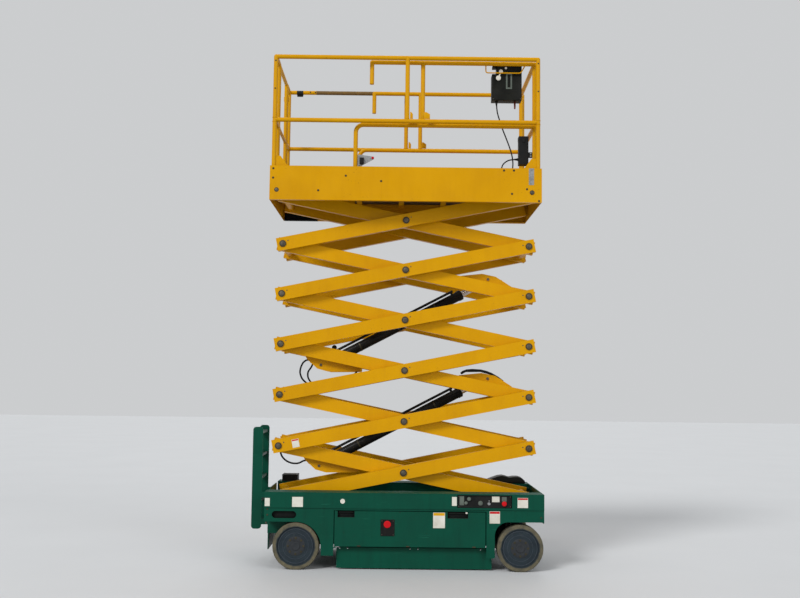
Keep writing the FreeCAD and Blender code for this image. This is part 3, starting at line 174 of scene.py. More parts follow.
def copyTo(piece, shift, turn=None):
    other = piece.copy()
    other.data = piece.data.copy()
    bpy.context.scene.collection.objects.link(other)
    matrix = Matrix.Translation(shift)
    if turn:
        matrix = matrix @ turn
    other.data.transform(matrix)
    return other


def settle(piece, body, material):
    piece.data.materials.clear()
    piece.data.materials.append(material)
    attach(piece, body)
    return piece


# helpers for the materials
def linear(red, green, blue):
    def one(value):
        value = value / 255
        return value / 12.92 if value <= 0.04045 else ((value + 0.055) / 1.055) ** 2.4
    return (one(red), one(green), one(blue), 1)


class Surface:

    def __init__(self, name):
        self.material = bpy.data.materials.new(name)
        self.material.use_nodes = True
        self.nodes = self.material.node_tree.nodes
        self.links = self.material.node_tree.links
        self.shader = self.nodes["Principled BSDF"]
        self.place = self.nodes.new("ShaderNodeTexCoord").outputs["Object"]

    def stretched(self, scale):
        mapping = self.nodes.new("ShaderNodeMapping")
        mapping.inputs["Scale"].default_value = scale
        self.links.new(self.place, mapping.inputs["Vector"])
        return mapping.outputs["Vector"]

    def noise(self, scale, detail=4, rough=0.55, place=None, warp=0):
        node = self.nodes.new("ShaderNodeTexNoise")
        node.inputs["Scale"].default_value = scale
        node.inputs["Detail"].default_value = detail
        node.inputs["Roughness"].default_value = rough
        node.inputs["Distortion"].default_value = warp
        self.links.new(place or self.place, node.inputs["Vector"])
        return node.outputs["Fac"]

    def cells(self, scale, place=None):
        node = self.nodes.new("ShaderNodeTexVoronoi")
        node.inputs["Scale"].default_value = scale
        self.links.new(place or self.place, node.inputs["Vector"])
        return node.outputs["Distance"]

    def ramp(self, value, low, high, fromValue=0.0, toValue=1.0):
        node = self.nodes.new("ShaderNodeMapRange")
        node.inputs["From Min"].default_value = low
        node.inputs["From Max"].default_value = high
        node.inputs["To Min"].default_value = fromValue
        node.inputs["To Max"].default_value = toValue
        self.links.new(value, node.inputs["Value"])
        return node.outputs["Result"]

    def sums(self, operation, first, second):
        node = self.nodes.new("ShaderNodeMath")
        node.operation = operation
        for index, value in enumerate((first, second)):
            if isinstance(value, (int, float)):
                node.inputs[index].default_value = value
            else:
                self.links.new(value, node.inputs[index])
        return node.outputs[0]

    def mix(self, amount, first, second):
        node = self.nodes.new("ShaderNodeMix")
        node.data_type = "RGBA"
        for socket, value in ((node.inputs[0], amount), (node.inputs[6], first), (node.inputs[7], second)):
            if isinstance(value, (int, float, tuple)):
                socket.default_value = value
            else:
                self.links.new(value, socket)
        return node.outputs[2]

    def axis(self, name):
        node = self.nodes.new("ShaderNodeSeparateXYZ")
        self.links.new(self.place, node.inputs[0])
        return node.outputs[name]

    def facing(self, name):
        coords = self.nodes.new("ShaderNodeTexCoord")
        node = self.nodes.new("ShaderNodeSeparateXYZ")
        self.links.new(coords.outputs["Normal"], node.inputs[0])
        return node.outputs[name]

    def awayFrom(self, x, z):
        along = self.sums("SUBTRACT", self.axis("X"), x)
        up = self.sums("SUBTRACT", self.axis("Z"), z)
        squares = self.sums("ADD", self.sums("MULTIPLY", along, along), self.sums("MULTIPLY", up, up))
        return self.sums("SQRT", squares, 0)

    def bump(self, height, strength, distance):
        node = self.nodes.new("ShaderNodeBump")
        node.inputs["Strength"].default_value = strength
        node.inputs["Distance"].default_value = distance
        self.links.new(height, node.inputs["Height"])
        self.links.new(node.outputs["Normal"], self.shader.inputs["Normal"])

    def colour(self, value):
        if isinstance(value, tuple):
            self.shader.inputs["Base Color"].default_value = value
        else:
            self.links.new(value, self.shader.inputs["Base Color"])

    def set(self, name, value):
        socket = self.shader.inputs[name]
        if isinstance(value, (int, float)):
            socket.default_value = value
        else:
            self.links.new(value, socket)


def wornPaint(name, look, scuff=None):
    s = Surface(name)
    patches = s.noise(look["patchScale"], 5, 0.6, warp=0.4)
    colour = s.mix(s.ramp(patches, 0.35, 0.68), look["base"], look["faded"])
    runs = s.noise(5, 6, 0.6, s.stretched((3, 3, 0.35)))
    colour = s.mix(s.ramp(runs, 0.5, 0.78, 0, look["runs"]), colour, look["grime"])
    dust = s.sums("MULTIPLY", s.ramp(s.facing("Z"), 0.55, 0.95), s.ramp(s.noise(7, 6), 0.3, 0.7, 0.35, 1))
    colour = s.mix(s.sums("MULTIPLY", dust, look["dust"]), colour, look["dustTone"])
    scratch = s.noise(look["scratchScale"], 3, 0.5, s.stretched((0.25, 1, 5)), 0.6)
    worn = s.ramp(scratch, look["scratchFrom"], look["scratchFrom"] + 0.02, 0, 0.6)
    colour = s.mix(worn, colour, look["worn"])
    chips = s.sums("MULTIPLY", s.ramp(s.noise(60, 4, 0.65), 0.66, 0.69), s.ramp(s.noise(3.1, 3), 0.5, 0.62))
    colour = s.mix(s.sums("MULTIPLY", chips, look["chips"]), colour, look["chipTone"])
    if scuff:
        along = s.sums("MULTIPLY", s.ramp(s.axis("X"), scuff["from"] - 0.01, scuff["from"]), s.ramp(s.axis("X"), scuff["to"], scuff["to"] - 0.35))
        along = s.sums("MULTIPLY", along, s.ramp(s.axis("Z"), scuff["above"] - 0.005, scuff["above"]))
        along = s.sums("MULTIPLY", along, s.ramp(s.noise(9, 5), 0.2, 0.45, 0.6, 1))
        colour = s.mix(along, colour, scuff["tone"])
    s.colour(colour)
    rough = s.ramp(s.noise(11, 5), 0.3, 0.75, look["roughness"] - 0.06, look["roughness"] + 0.14)
    s.set("Roughness", s.sums("ADD", rough, s.sums("MULTIPLY", dust, 0.25)))
    s.shader.inputs["Coat Weight"].default_value = look["coat"]
    s.shader.inputs["Coat Roughness"].default_value = 0.12
    s.shader.inputs["Specular IOR Level"].default_value = 0.10
    s.bump(s.sums("ADD", s.noise(look["peel"], 2), s.sums("MULTIPLY", s.noise(6, 2), 2.5)), 0.12, 0.0015)
    return s.material


yellowLook = {
    "base": linear(206, 150, 0),
    "faded": linear(196, 140, 0),
    "grime": linear(150, 92, 14),
    "runs": 0.12,
    "dust": 0.2,
    "dustTone": linear(176, 142, 50),
    "patchScale": 1.7,
    "scratchScale": 14,
    "scratchFrom": 0.735,
    "worn": linear(196, 128, 10),
    "chips": 0.7,
    "chipTone": linear(70, 44, 22),
    "roughness": 0.36,
    "coat": 0.03,
    "peel": 260,
}
greenLook = {
    "base": linear(3, 71, 54),
    "faded": linear(6, 64, 49),
    "grime": linear(10, 42, 34),
    "runs": 0.35,
    "dust": 0.18,
    "dustTone": linear(52, 84, 70),
    "patchScale": 2.3,
    "scratchScale": 16,
    "scratchFrom": 0.70,
    "worn": linear(26, 92, 72),
    "chips": 0.8,
    "chipTone": linear(36, 34, 30),
    "roughness": 0.38,
    "coat": 0.03,
    "peel": 240,
}
blackLook = {
    "base": linear(18, 19, 18),
    "faded": linear(28, 28, 27),
    "grime": linear(52, 48, 42),
    "runs": 0.3,
    "dust": 0.35,
    "dustTone": linear(84, 81, 72),
    "patchScale": 5,
    "scratchScale": 30,
    "scratchFrom": 0.72,
    "worn": linear(90, 88, 84),
    "chips": 0.6,
    "chipTone": linear(96, 84, 70),
    "roughness": 0.44,
    "coat": 0.03,
    "peel": 380,
}


def metalMaterial(name, look):
    s = Surface(name)
    stain = s.noise(look["stainScale"], 6, 0.65)
    colour = s.mix(s.ramp(stain, 0.38, 0.7), look["base"], look["stain"])
    spots = s.ramp(s.cells(look["spangle"]), 0.1, 0.75)
    colour = s.mix(s.sums("MULTIPLY", spots, look["spots"]), colour, look["spotTone"])
    s.colour(colour)
    s.set("Metallic", look["metallic"])
    s.set("Roughness", s.ramp(s.noise(24, 5), 0.3, 0.7, look["roughness"] - 0.08, look["roughness"] + 0.14))
    s.bump(s.noise(look["grain"], 3), 0.1, 0.001)
    return s.material


def plasticMaterial(name, look):
    s = Surface(name)
    colour = s.mix(s.ramp(s.noise(9, 5), 0.35, 0.72), look["base"], look["worn"])
    dust = s.sums("MULTIPLY", s.ramp(s.facing("Z"), 0.5, 0.95), s.ramp(s.noise(30, 4), 0.35, 0.65, 0.3, 1))
    colour = s.mix(s.sums("MULTIPLY", dust, look["dust"]), colour, linear(120, 114, 102))
    s.colour(colour)
    s.set("Roughness", s.ramp(s.noise(40, 4), 0.3, 0.7, look["roughness"] - 0.06, look["roughness"] + 0.12))
    s.shader.inputs["Specular IOR Level"].default_value = 0.12
    s.bump(s.noise(look["grain"], 2), 0.15, 0.0006)
    return s.material


def wheelMaterial(name, look):
    s = Surface(name)
    away = s.sums("MINIMUM", s.awayFrom(look["rear"], look["height"]), s.awayFrom(look["front"], look["height"]))
    ragged = s.sums("ADD", away, s.ramp(s.noise(26, 5, 0.7), 0.3, 0.7, -0.004, 0.004))
    disc = s.mix(s.ramp(s.noise(7, 6, 0.65, warp=0.5), 0.34, 0.7), look["disc"], look["discWorn"])
    disc = s.mix(s.ramp(s.noise(40, 5, 0.7), 0.56, 0.74, 0, 0.35), disc, look["dust"])
    shoulder = s.mix(s.ramp(s.noise(14, 6, 0.7), 0.36, 0.66), look["shoulder"], look["shoulderWorn"])
    rubber = s.mix(s.ramp(s.noise(22, 5, 0.6), 0.35, 0.7), look["rubber"], look["shoulder"])
    sideways = s.ramp(s.sums("ABSOLUTE", s.facing("Y"), 0), 0.5, 0.7)
    tyre = s.mix(sideways, rubber, shoulder)
    colour = s.mix(s.ramp(ragged, 0.166, 0.176), disc, tyre)
    s.colour(colour)
    s.set("Roughness", s.ramp(s.noise(20, 5), 0.3, 0.7, 0.62, 0.84))
    s.shader.inputs["Specular IOR Level"].default_value = 0.15
    s.bump(s.sums("ADD", s.noise(120, 4), s.sums("MULTIPLY", s.noise(18, 4), 3)), 0.3, 0.0015)
    return s.material


def checkerMaterial(name, look):
    s = Surface(name)
    lift = s.sums("MULTIPLY", s.ramp(s.sums("SINE", s.sums("MULTIPLY", s.sums("ADD", s.axis("X"), s.axis("Y")), 190), 0), 0.55, 0.8), s.ramp(s.sums("SINE", s.sums("MULTIPLY", s.sums("SUBTRACT", s.axis("X"), s.axis("Y")), 95), 0), 0.1, 0.5))
    colour = s.mix(s.ramp(s.noise(5, 6, 0.6), 0.35, 0.7), look["base"], look["worn"])
    s.colour(s.mix(s.sums("MULTIPLY", lift, 0.5), colour, look["edge"]))
    s.set("Metallic", 0.75)
    s.set("Roughness", s.ramp(s.noise(20, 5), 0.3, 0.7, 0.4, 0.62))
    s.bump(lift, 0.6, 0.002)
    return s.material


yellowPaint = wornPaint("yellowPaint", yellowLook)
scuffedPaint = wornPaint("scuffedPaint", yellowLook, {"from": -0.854, "to": 0.900, "above": 4.575, "tone": linear(112, 88, 52)})
greenPaint = wornPaint("greenPaint", greenLook)
blackPaint = wornPaint("blackPaint", blackLook)
galvanised = metalMaterial("galvanised", {
    "base": linear(150, 152, 152), "stain": linear(112, 112, 110), "stainScale": 8, "spangle": 60, "spots": 0.4,
    "spotTone": linear(176, 178, 180), "metallic": 0.85, "roughness": 0.42, "grain": 180})
pinSteel = metalMaterial("pinSteel", {
    "base": linear(92, 86, 76), "stain": linear(58, 50, 42), "stainScale": 22, "spangle": 90, "spots": 0.3,
    "spotTone": linear(116, 108, 94), "metallic": 0.7, "roughness": 0.48, "grain": 220})
rodChrome = metalMaterial("rodChrome", {
    "base": linear(205, 206, 208), "stain": linear(176, 176, 178), "stainScale": 5, "spangle": 30, "spots": 0.1,
    "spotTone": linear(220, 220, 222), "metallic": 1.0, "roughness": 0.16, "grain": 300})
blackPlastic = plasticMaterial("blackPlastic", {"base": linear(20, 21, 21), "worn": linear(34, 34, 33), "dust": 0.35, "roughness": 0.5, "grain": 500})
redPlastic = plasticMaterial("redPlastic", {"base": linear(196, 20, 28), "worn": linear(168, 18, 26), "dust": 0.2, "roughness": 0.32, "grain": 400})
whitePlastic = plasticMaterial("whitePlastic", {"base": linear(214, 212, 202), "worn": linear(190, 186, 172), "dust": 0.3, "roughness": 0.42, "grain": 400})
batteryCase = plasticMaterial("batteryCase", {"base": linear(40, 42, 46), "worn": linear(58, 58, 58), "dust": 0.7, "roughness": 0.55, "grain": 300})
cableRubber = plasticMaterial("cableRubber", {"base": linear(24, 24, 25), "worn": linear(38, 38, 38), "dust": 0.25, "roughness": 0.55, "grain": 600})
hoseRubber = plasticMaterial("hoseRubber", {"base": linear(16, 16, 17), "worn": linear(30, 30, 30), "dust": 0.3, "roughness": 0.5, "grain": 700})
boxPlastic = plasticMaterial("boxPlastic", {"base": linear(13, 14, 11), "worn": linear(24, 25, 20), "dust": 0.2, "roughness": 0.45, "grain": 450})
greyPlastic = plasticMaterial("greyPlastic", {"base": linear(96, 104, 96), "worn": linear(78, 84, 78), "dust": 0.3, "roughness": 0.5, "grain": 450})
yellowPlastic = plasticMaterial("yellowPlastic", {"base": linear(214, 160, 20), "worn": linear(190, 140, 20), "dust": 0.2, "roughness": 0.4, "grain": 400})
rustBrown = plasticMaterial("rustBrown", {"base": linear(112, 48, 34), "worn": linear(84, 40, 30), "dust": 0.3, "roughness": 0.5, "grain": 400})
shadowPaint = plasticMaterial("shadowPaint", {"base": linear(12, 14, 14), "worn": linear(20, 24, 22), "dust": 0.2, "roughness": 0.6, "grain": 300})
pinDark = metalMaterial("pinDark", {
    "base": linear(58, 54, 34), "stain": linear(34, 31, 22), "stainScale": 26, "spangle": 90, "spots": 0.25,
    "spotTone": linear(82, 76, 52), "metallic": 0.5, "roughness": 0.5, "grain": 220})
hubDark = metalMaterial("hubDark", {
    "base": linear(40, 44, 48), "stain": linear(28, 30, 34), "stainScale": 18, "spangle": 70, "spots": 0.2,
    "spotTone": linear(58, 62, 66), "metallic": 0.4, "roughness": 0.55, "grain": 200})
wheelFace = metalMaterial("wheelFace", {
    "base": linear(54, 64, 74), "stain": linear(40, 48, 56), "stainScale": 14, "spangle": 60, "spots": 0.2,
    "spotTone": linear(72, 82, 92), "metallic": 0.2, "roughness": 0.6, "grain": 200})
deckTread = checkerMaterial("deckTread", {"base": linear(92, 92, 90), "worn": linear(70, 68, 64), "edge": linear(130, 130, 126)})
wheelGrey = wheelMaterial("wheelGrey", {
    "rear": -0.867, "front": 1.100, "height": 0.203,
    "disc": linear(40, 50, 56), "discWorn": linear(30, 38, 44), "dust": linear(84, 88, 86),
    "shoulder": linear(104, 97, 76), "shoulderWorn": linear(70, 68, 58), "rubber": linear(46, 48, 43)})
slotMaterials = {
    "yellow_paint": yellowPaint,
    "green_paint": greenPaint,
    "dark_steel": blackPaint,
    "bare_steel": galvanised,
    "rod_chrome": rodChrome,
    "grey_tyre": wheelGrey,
    "black_plastic": blackPlastic,
    "red_plastic": redPlastic,
    "battery_case": batteryCase,
}
for entry in frame["record"]["subparts"]:
    piece = nodes[entry["node"]]
    finish = slotMaterials[entry["material_slot"]]
    if not piece.data.materials:
        piece.data.materials.append(finish)
    for index in range(len(piece.data.materials)):
        piece.data.materials[index] = finish
finishOf = {"guardrail_left": scuffedPaint, "hoses_base": hoseRubber, "hoses_middle": hoseRubber, "platform_deck": deckTread}
for name, finish in finishOf.items():
    for index in range(len(nodes[name].data.materials)):
        nodes[name].data.materials[index] = finish
print("CAD nodes painted")


# where the CAD keeps things, in metres
lift = {
    "stackX": 0.0712,
    "basePinZ": 0.598,
    "armLength": 2.310,
    "armAngle": 11.5,
    "pinFace": 0.389,
    "doorFace": 0.592,
    "bandFace": 0.600,
    "deckMid": 0.062,
    "railY": 0.5647,
    "slideRailY": 0.494,
}
rise = lift["armLength"] * math.sin(math.radians(lift["armAngle"]))


def armFrame(kind, level):
    turn = lift["armAngle"] if kind == "inner" else -lift["armAngle"]
    centre = (lift["stackX"], 0, lift["basePinZ"] + (level - 0.5) * rise)
    return Matrix.Translation(centre) @ Matrix.Rotation(math.radians(turn), 4, "Y")


def paint(piece, *materials):
    piece.data.materials.clear()
    for material in materials:
        piece.data.materials.append(material)
    return piece


def carry(piece, body):
    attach(piece, body)
    return piece


def rod(name, start, end, radius, sides=20):
    start, end = Vector(start), Vector(end)
    deselectAll()
    turn = (end - start).to_track_quat("Z", "Y").to_euler()
    bpy.ops.mesh.primitive_cylinder_add(vertices=sides, radius=radius, depth=(end - start).length, location=(start + end) / 2, rotation=turn)
    piece = named(name)
    placeInMesh(piece)
    return piece


def cone(name, start, end, wide, narrow, sides=24):
    start, end = Vector(start), Vector(end)
    deselectAll()
    turn = (end - start).to_track_quat("Z", "Y").to_euler()
    bpy.ops.mesh.primitive_cone_add(vertices=sides, radius1=wide, radius2=narrow, depth=(end - start).length, location=(start + end) / 2, rotation=turn)
    piece = named(name)
    placeInMesh(piece)
    return piece


def flatPlate(name, outline, near, thickness):
    deselectAll()
    bpy.ops.mesh.primitive_circle_add(vertices=len(outline), fill_type="NGON")
    piece = named(name)
    for vertex, (x, z) in zip(piece.data.vertices, outline):
        vertex.co = (x, near, z)
    only(piece)
    bpy.ops.object.mode_set(mode="EDIT")
    bpy.ops.mesh.select_all(action="SELECT")
    bpy.ops.mesh.extrude_region_move(TRANSFORM_OT_translate={"value": (0, thickness, 0)})
    bpy.ops.mesh.select_all(action="SELECT")
    bpy.ops.mesh.normals_make_consistent(inside=False)
    backToObject()
    return piece


def moved(piece, matrix):
    piece.data.transform(matrix)
    return piece


def turnedOut(piece):
    piece.data.transform(Matrix.Scale(-1, 4, (0, 1, 0)))
    only(piece)
    bpy.ops.object.mode_set(mode="EDIT")
    bpy.ops.mesh.select_all(action="SELECT")
    bpy.ops.mesh.remove_doubles(threshold=0.00001)
    bpy.ops.mesh.normals_make_consistent(inside=False)
    backToObject()
    return piece


def mirrored(piece, name):
    other = piece.copy()
    other.data = piece.data.copy()
    other.name = name
    bpy.context.scene.collection.objects.link(other)
    return turnedOut(other)


hexTemplates = {}


def hexBolt(radius, depth):
    key = (radius, depth)
    if key not in hexTemplates:
        washer = disc("boltWasher", (0, -depth * 0.15, 0), radius * 1.3, depth * 0.3, "y", 20)
        deselectAll()
        bpy.ops.mesh.primitive_cylinder_add(vertices=6, radius=radius, depth=depth * 0.8, location=(0, -depth * 0.6, 0), rotation=(math.pi / 2, 0, 0))
        head = named("boltHead")
        placeInMesh(head)
        softenEdges(head, radius * 0.12, 2, 30)
        bolt = joined("boltTemplate", [head, washer])
        hexTemplates[key] = bolt.data.copy()
        bpy.data.objects.remove(bolt)
    return hexTemplates[key]


facingTurn = {
    "-y": Matrix.Identity(4),
    "+y": Matrix.Rotation(math.pi, 4, "Z"),
    "-x": Matrix.Rotation(-math.pi / 2, 4, "Z"),
    "+x": Matrix.Rotation(math.pi / 2, 4, "Z"),
    "+z": Matrix.Rotation(-math.pi / 2, 4, "X"),
    "-z": Matrix.Rotation(math.pi / 2, 4, "X"),
}


def bolts(name, spots, radius=0.008, depth=0.007):
    heads = []
    for index, (x, y, z, way) in enumerate(spots):
        mesh = hexBolt(radius, depth).copy()
        mesh.transform(Matrix.Translation((x, y, z)) @ facingTurn[way])
        head = bpy.data.objects.new(f"{name}{index}", mesh)
        bpy.context.scene.collection.objects.link(head)
        heads.append(head)
    return joined(name, heads)


# control cable, with the same route as the solid that it stands for
cableLook = {
    "route": [
        (0.896, -0.420, 4.2465), (0.897, -0.420, 4.205), (0.904, -0.420, 4.140), (0.926, -0.421, 4.068),
        (0.948, -0.421, 3.999), (0.985, -0.422, 3.905), (1.020, -0.424, 3.812), (1.043, -0.428, 3.730),
        (1.050, -0.434, 3.650), (1.040, -0.438, 3.590), (1.018, -0.441, 3.556), (0.986, -0.443, 3.542),
        (0.954, -0.443, 3.556), (0.940, -0.441, 3.592), (0.950, -0.436, 3.650), (0.998, -0.430, 3.691),
        (1.050, -0.428, 3.702), (1.0967, -0.428, 3.702),
    ],
    "diameter": 0.012,
    "length": 1.042,
}


def addControlCable(look):
    data = bpy.data.curves.new("controlCable", "CURVE")
    data.dimensions = "3D"
    data.bevel_depth = look["diameter"] / 2
    data.bevel_resolution = 5
    data.use_fill_caps = True
    data.resolution_u = 10
    line = data.splines.new("NURBS")
    line.points.add(len(look["route"]) - 1)
    for point, place in zip(line.points, look["route"]):
        point.co = (*place, 1)
    line.order_u = 3
    line.use_endpoint_u = True
    cable = bpy.data.objects.new("controlCable", data)
    bpy.context.scene.collection.objects.link(cable)
    data.materials.append(cableRubber)
    carry(cable, "extension")
    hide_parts("control_cable")
    glands = []
    for name, start, towards in (("glandBox", look["route"][0], (0.0008, 0, -1)), ("glandSocket", look["route"][-1], (-1, 0, 0))):
        start = Vector(start)
        towards = Vector(towards).normalized()
        nut = cone(name + "Nut", start, start + towards * 0.012, 0.013, 0.0125, 12)
        sleeve = cone(name + "Sleeve", start + towards * 0.011, start + towards * 0.036, 0.0105, 0.0072, 20)
        glands += [softened(nut, 0.0012), softened(sleeve, 0.001)]
    settle(joined("cableGlands", glands), "extension", blackPlastic)
    print("control cable and its glands")


def softened(piece, width, segments=2, angle=40):
    softenEdges(piece, width, segments, angle)
    smooth(piece)
    return piece


addControlCable(cableLook)


# pin ends, each a dark ring round a paler core
pinLook = {"ring": 0.031, "core": 0.021, "depth": 0.0042, "ends": (-1.155, 0.0, 1.155)}


def pinEnd(look):
    ring = disc("pinRing", (0, -look["depth"] / 2, 0), look["ring"], look["depth"], "y", 40)
    pickFaces(ring, lambda centre, normal: normal.y < -0.9)
    bpy.ops.mesh.inset(thickness=look["ring"] - look["core"], depth=-0.0012)
    bpy.ops.mesh.inset(thickness=0.002, depth=0.001)
    backToObject()
    softenEdges(ring, 0.0007, 2, 50)
    paint(ring, pinDark, pinSteel)
    for face in ring.data.polygons:
        across = math.hypot(face.center.x, face.center.z)
        face.material_index = 1 if across < look["core"] * 0.96 and face.normal.y < -0.5 else 0
    smooth(ring)
    return ring


def addPinEnds(look):
    template = pinEnd(look)
    for level in range(1, 7):
        ends = []
        for spot, along in enumerate(look["ends"]):
            if level == 6 and spot == 2:
                continue
            for side in (-1, 1):
                turn = facingTurn["-y"] if side < 0 else facingTurn["+y"]
                matrix = armFrame("outer", level) @ Matrix.Translation((along, side * lift["pinFace"], 0)) @ turn
                ends.append(copyTo(template, (0, 0, 0), matrix))
        carry(joined(f"pinEnds{level}", ends), f"outer_pair_{level}")
    bpy.data.objects.remove(template)
    small = disc("mountPinTemplate", (0, -0.0008, 0), 0.0125, 0.0016, "y", 24)
    softenEdges(small, 0.0005, 2, 50)
    paint(small, pinSteel)
    for level, mounts in ((1, ((-0.765, -0.110),)), (3, ((-0.765, -0.110), (0.765, 0.090))), (5, ((0.765, 0.090),))):
        heads = []
        for along, up in mounts:
            for side in (-1, 1):
                turn = facingTurn["-y"] if side < 0 else facingTurn["+y"]
                matrix = armFrame("inner", level) @ Matrix.Translation((along, side * 0.255, up)) @ turn
                heads.append(copyTo(small, (0, 0, 0), matrix))
        carry(joined(f"mountPins{level}", heads), f"inner_pair_{level}")
    bpy.data.objects.remove(small)
    top = moved(pinEnd({**look, "ring": 0.021, "core": 0.013, "depth": 0.002}), Matrix.Translation((1.203, -0.598, 3.3612)))
    other = mirrored(top, "topPinEndLeft")
    carry(joined("topPinEnds", [top, other]), "platform")
    print("pin ends")


addPinEnds(pinLook)


# blank labels: a white plate with a coloured header, at its place on the right side
labelLook = {
    "thickness": 0.0003,
    "places": [
        # name, body, face, x from, x to, z from, z to, header
        ("doorLabel", "side_door_right", "doorFace", 0.335, 0.439, 0.371, 0.505, "yellow"),
        ("pillarLabel", "chassis", "doorFace", 0.830, 0.922, 0.416, 0.521, "red"),
        ("bandLabelFront", "chassis", "bandFace", 1.075, 1.167, 0.554, 0.641, "red"),
        ("bandLabelSmall", "chassis", "bandFace", 0.499, 0.541, 0.566, 0.643, None),
        ("bandLabelRear", "chassis", "bandFace", -0.904, -0.809, 0.542, 0.628, None),
        ("bandLabelEnd", "chassis", "bandFace", -1.144, -1.100, 0.546, 0.616, None),
    ],
}


def label(name, x, z, face, header, thickness):
    plate = block(name, (x[0], -face - thickness, z[0]), (x[1], -face + 0.0002, z[1]))
    pickFaces(plate, lambda centre, normal: abs(normal.y) < 0.5)
    backToObject()
    softenEdges(plate, 0.0001, 1, 30)
    paint(plate, whitePlastic)
    if not header:
        return plate
    high = z[1] - (z[1] - z[0]) * 0.2
    strip = block(name + "Header", (x[0] + 0.003, -face - thickness - 0.0001, high), (x[1] - 0.003, -face - thickness + 0.0001, z[1] - 0.003))
    paint(strip, {"red": redPlastic, "yellow": yellowPlastic}[header])
    return joined(name, [plate, strip])


def addLabels(look):
    for name, body, face, x0, x1, z0, z1, header in look["places"]:
        carry(label(name, (x0, x1), (z0, z1), lift[face], header, look["thickness"]), body)
    spot = disc("bandSpot", (-0.4615, -lift["bandFace"] - 0.0001, 0.595), 0.021, 0.0004, "y", 32)
    softenEdges(spot, 0.0001, 1, 30)
    paint(spot, whitePlastic)
    carry(spot, "chassis")
    onArm = label("armLabel", (-1.030, -0.967), (-0.044, 0.030), 0.385, "red", look["thickness"])
    carry(moved(onArm, armFrame("outer", 2)), "outer_pair_2")
    print("blank labels")


addLabels(labelLook)


# ground controls in the window of the right band
groundLook = {
    "panel": ((0.547, 1.026), (0.549, 0.659)),
    "face": 0.5850,
    "knobs": [(0.6495, 0.625, 0.014), (0.623, 0.590, 0.012), (0.7505, 0.589, 0.017)],
    "plates": [(0.852, 0.918, 0.600, 0.650, "white"), (0.938, 0.981, 0.606, 0.646, "dark"), (0.566, 0.606, 0.570, 0.650, "dark")],
}


def addGroundControls(look):
    face = -look["face"]
    (x0, x1), (z0, z1) = look["panel"]
    board = block("groundBoard", (x0, face, z0), (x1, face + 0.018, z1))
    pickFaces(board, lambda centre, normal: normal.y < -0.9)
    bpy.ops.mesh.inset(thickness=0.006, depth=0)
    bpy.ops.mesh.inset(thickness=0.002, depth=-0.002)
    backToObject()
    flange = block("groundFlange", (x0 - 0.022, face + 0.012, z0 - 0.011), (x1 + 0.022, face + 0.020, z1 + 0.002))
    board = joined("groundBoard", [softened(board, 0.0012), softened(flange, 0.0012)])
    settle(board, "chassis", blackPlastic)
    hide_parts("ground_controls")
    knobs = []
    for index, (x, z, radius) in enumerate(look["knobs"]):
        base = disc(f"knobBase{index}", (x, face - 0.001, z), radius * 1.25, 0.004, "y", 32)
        knob = disc(f"knob{index}", (x, face - 0.007, z), radius, 0.010, "y", 24)
        pickFaces(knob, lambda centre, normal: normal.y < -0.9)
        bpy.ops.mesh.inset(thickness=radius * 0.3, depth=0.001)
        backToObject()
        ridge = block(f"knobRidge{index}", (x - radius * 0.16, face - 0.0135, z - radius * 0.8), (x + radius * 0.16, face - 0.011, z + radius * 0.8))
        knobs += [softened(base, 0.0008), softened(knob, 0.0012), softened(ridge, 0.0006)]
    paintAll(knobs, greyPlastic)
    lever = [
        disc("leverCollar", (0.8255, face - 0.002, 0.585), 0.013, 0.006, "y", 24),
        rod("leverStem", (0.8255, face - 0.003, 0.585), (0.8255, face - 0.0105, 0.619), 0.0035, 12),
    ]
    paintAll([softened(piece, 0.0008) for piece in lever], galvanised)
    plates = []
    for index, (a, b, low, high, tone) in enumerate(look["plates"]):
        small = block(f"groundPlate{index}", (a, face - 0.0012, low), (b, face + 0.001, high))
        paint(softened(small, 0.0006), whitePlastic if tone == "white" else greyPlastic)
        plates.append(small)
    carry(joined("groundKnobs", knobs + lever + plates), "chassis")
    stopParts = [
        disc("groundStopCollar", (0.9595, face - 0.002, 0.587), 0.019, 0.006, "y", 28),
        disc("groundStopHead", (0.9595, face - 0.0075, 0.587), 0.0215, 0.009, "y", 32),
    ]
    head = stopParts[1]
    pickFaces(head, lambda centre, normal: normal.y < -0.9)
    bpy.ops.mesh.inset(thickness=0.006, depth=0.0020)
    backToObject()
    settle(joined("groundStop", [softened(piece, 0.0015) for piece in stopParts]), "chassis", redPlastic)
    spots = [(x, face, z, "-y") for x in (x0 + 0.012, x1 - 0.012) for z in (z0 + 0.012, z1 - 0.012)]
    settle(bolts("groundBoardBolts", spots, 0.0035, 0.003), "chassis", pinSteel)
    print("ground controls")


def paintAll(pieces, material):
    for piece in pieces:
        paint(piece, material)
    return pieces


addGroundControls(groundLook)


# stop switch on the right door
stopLook = {"plate": ((-0.125, -0.003), (0.298, 0.440)), "face": 0.592, "button": (-0.067, 0.399), "radius": 0.031}


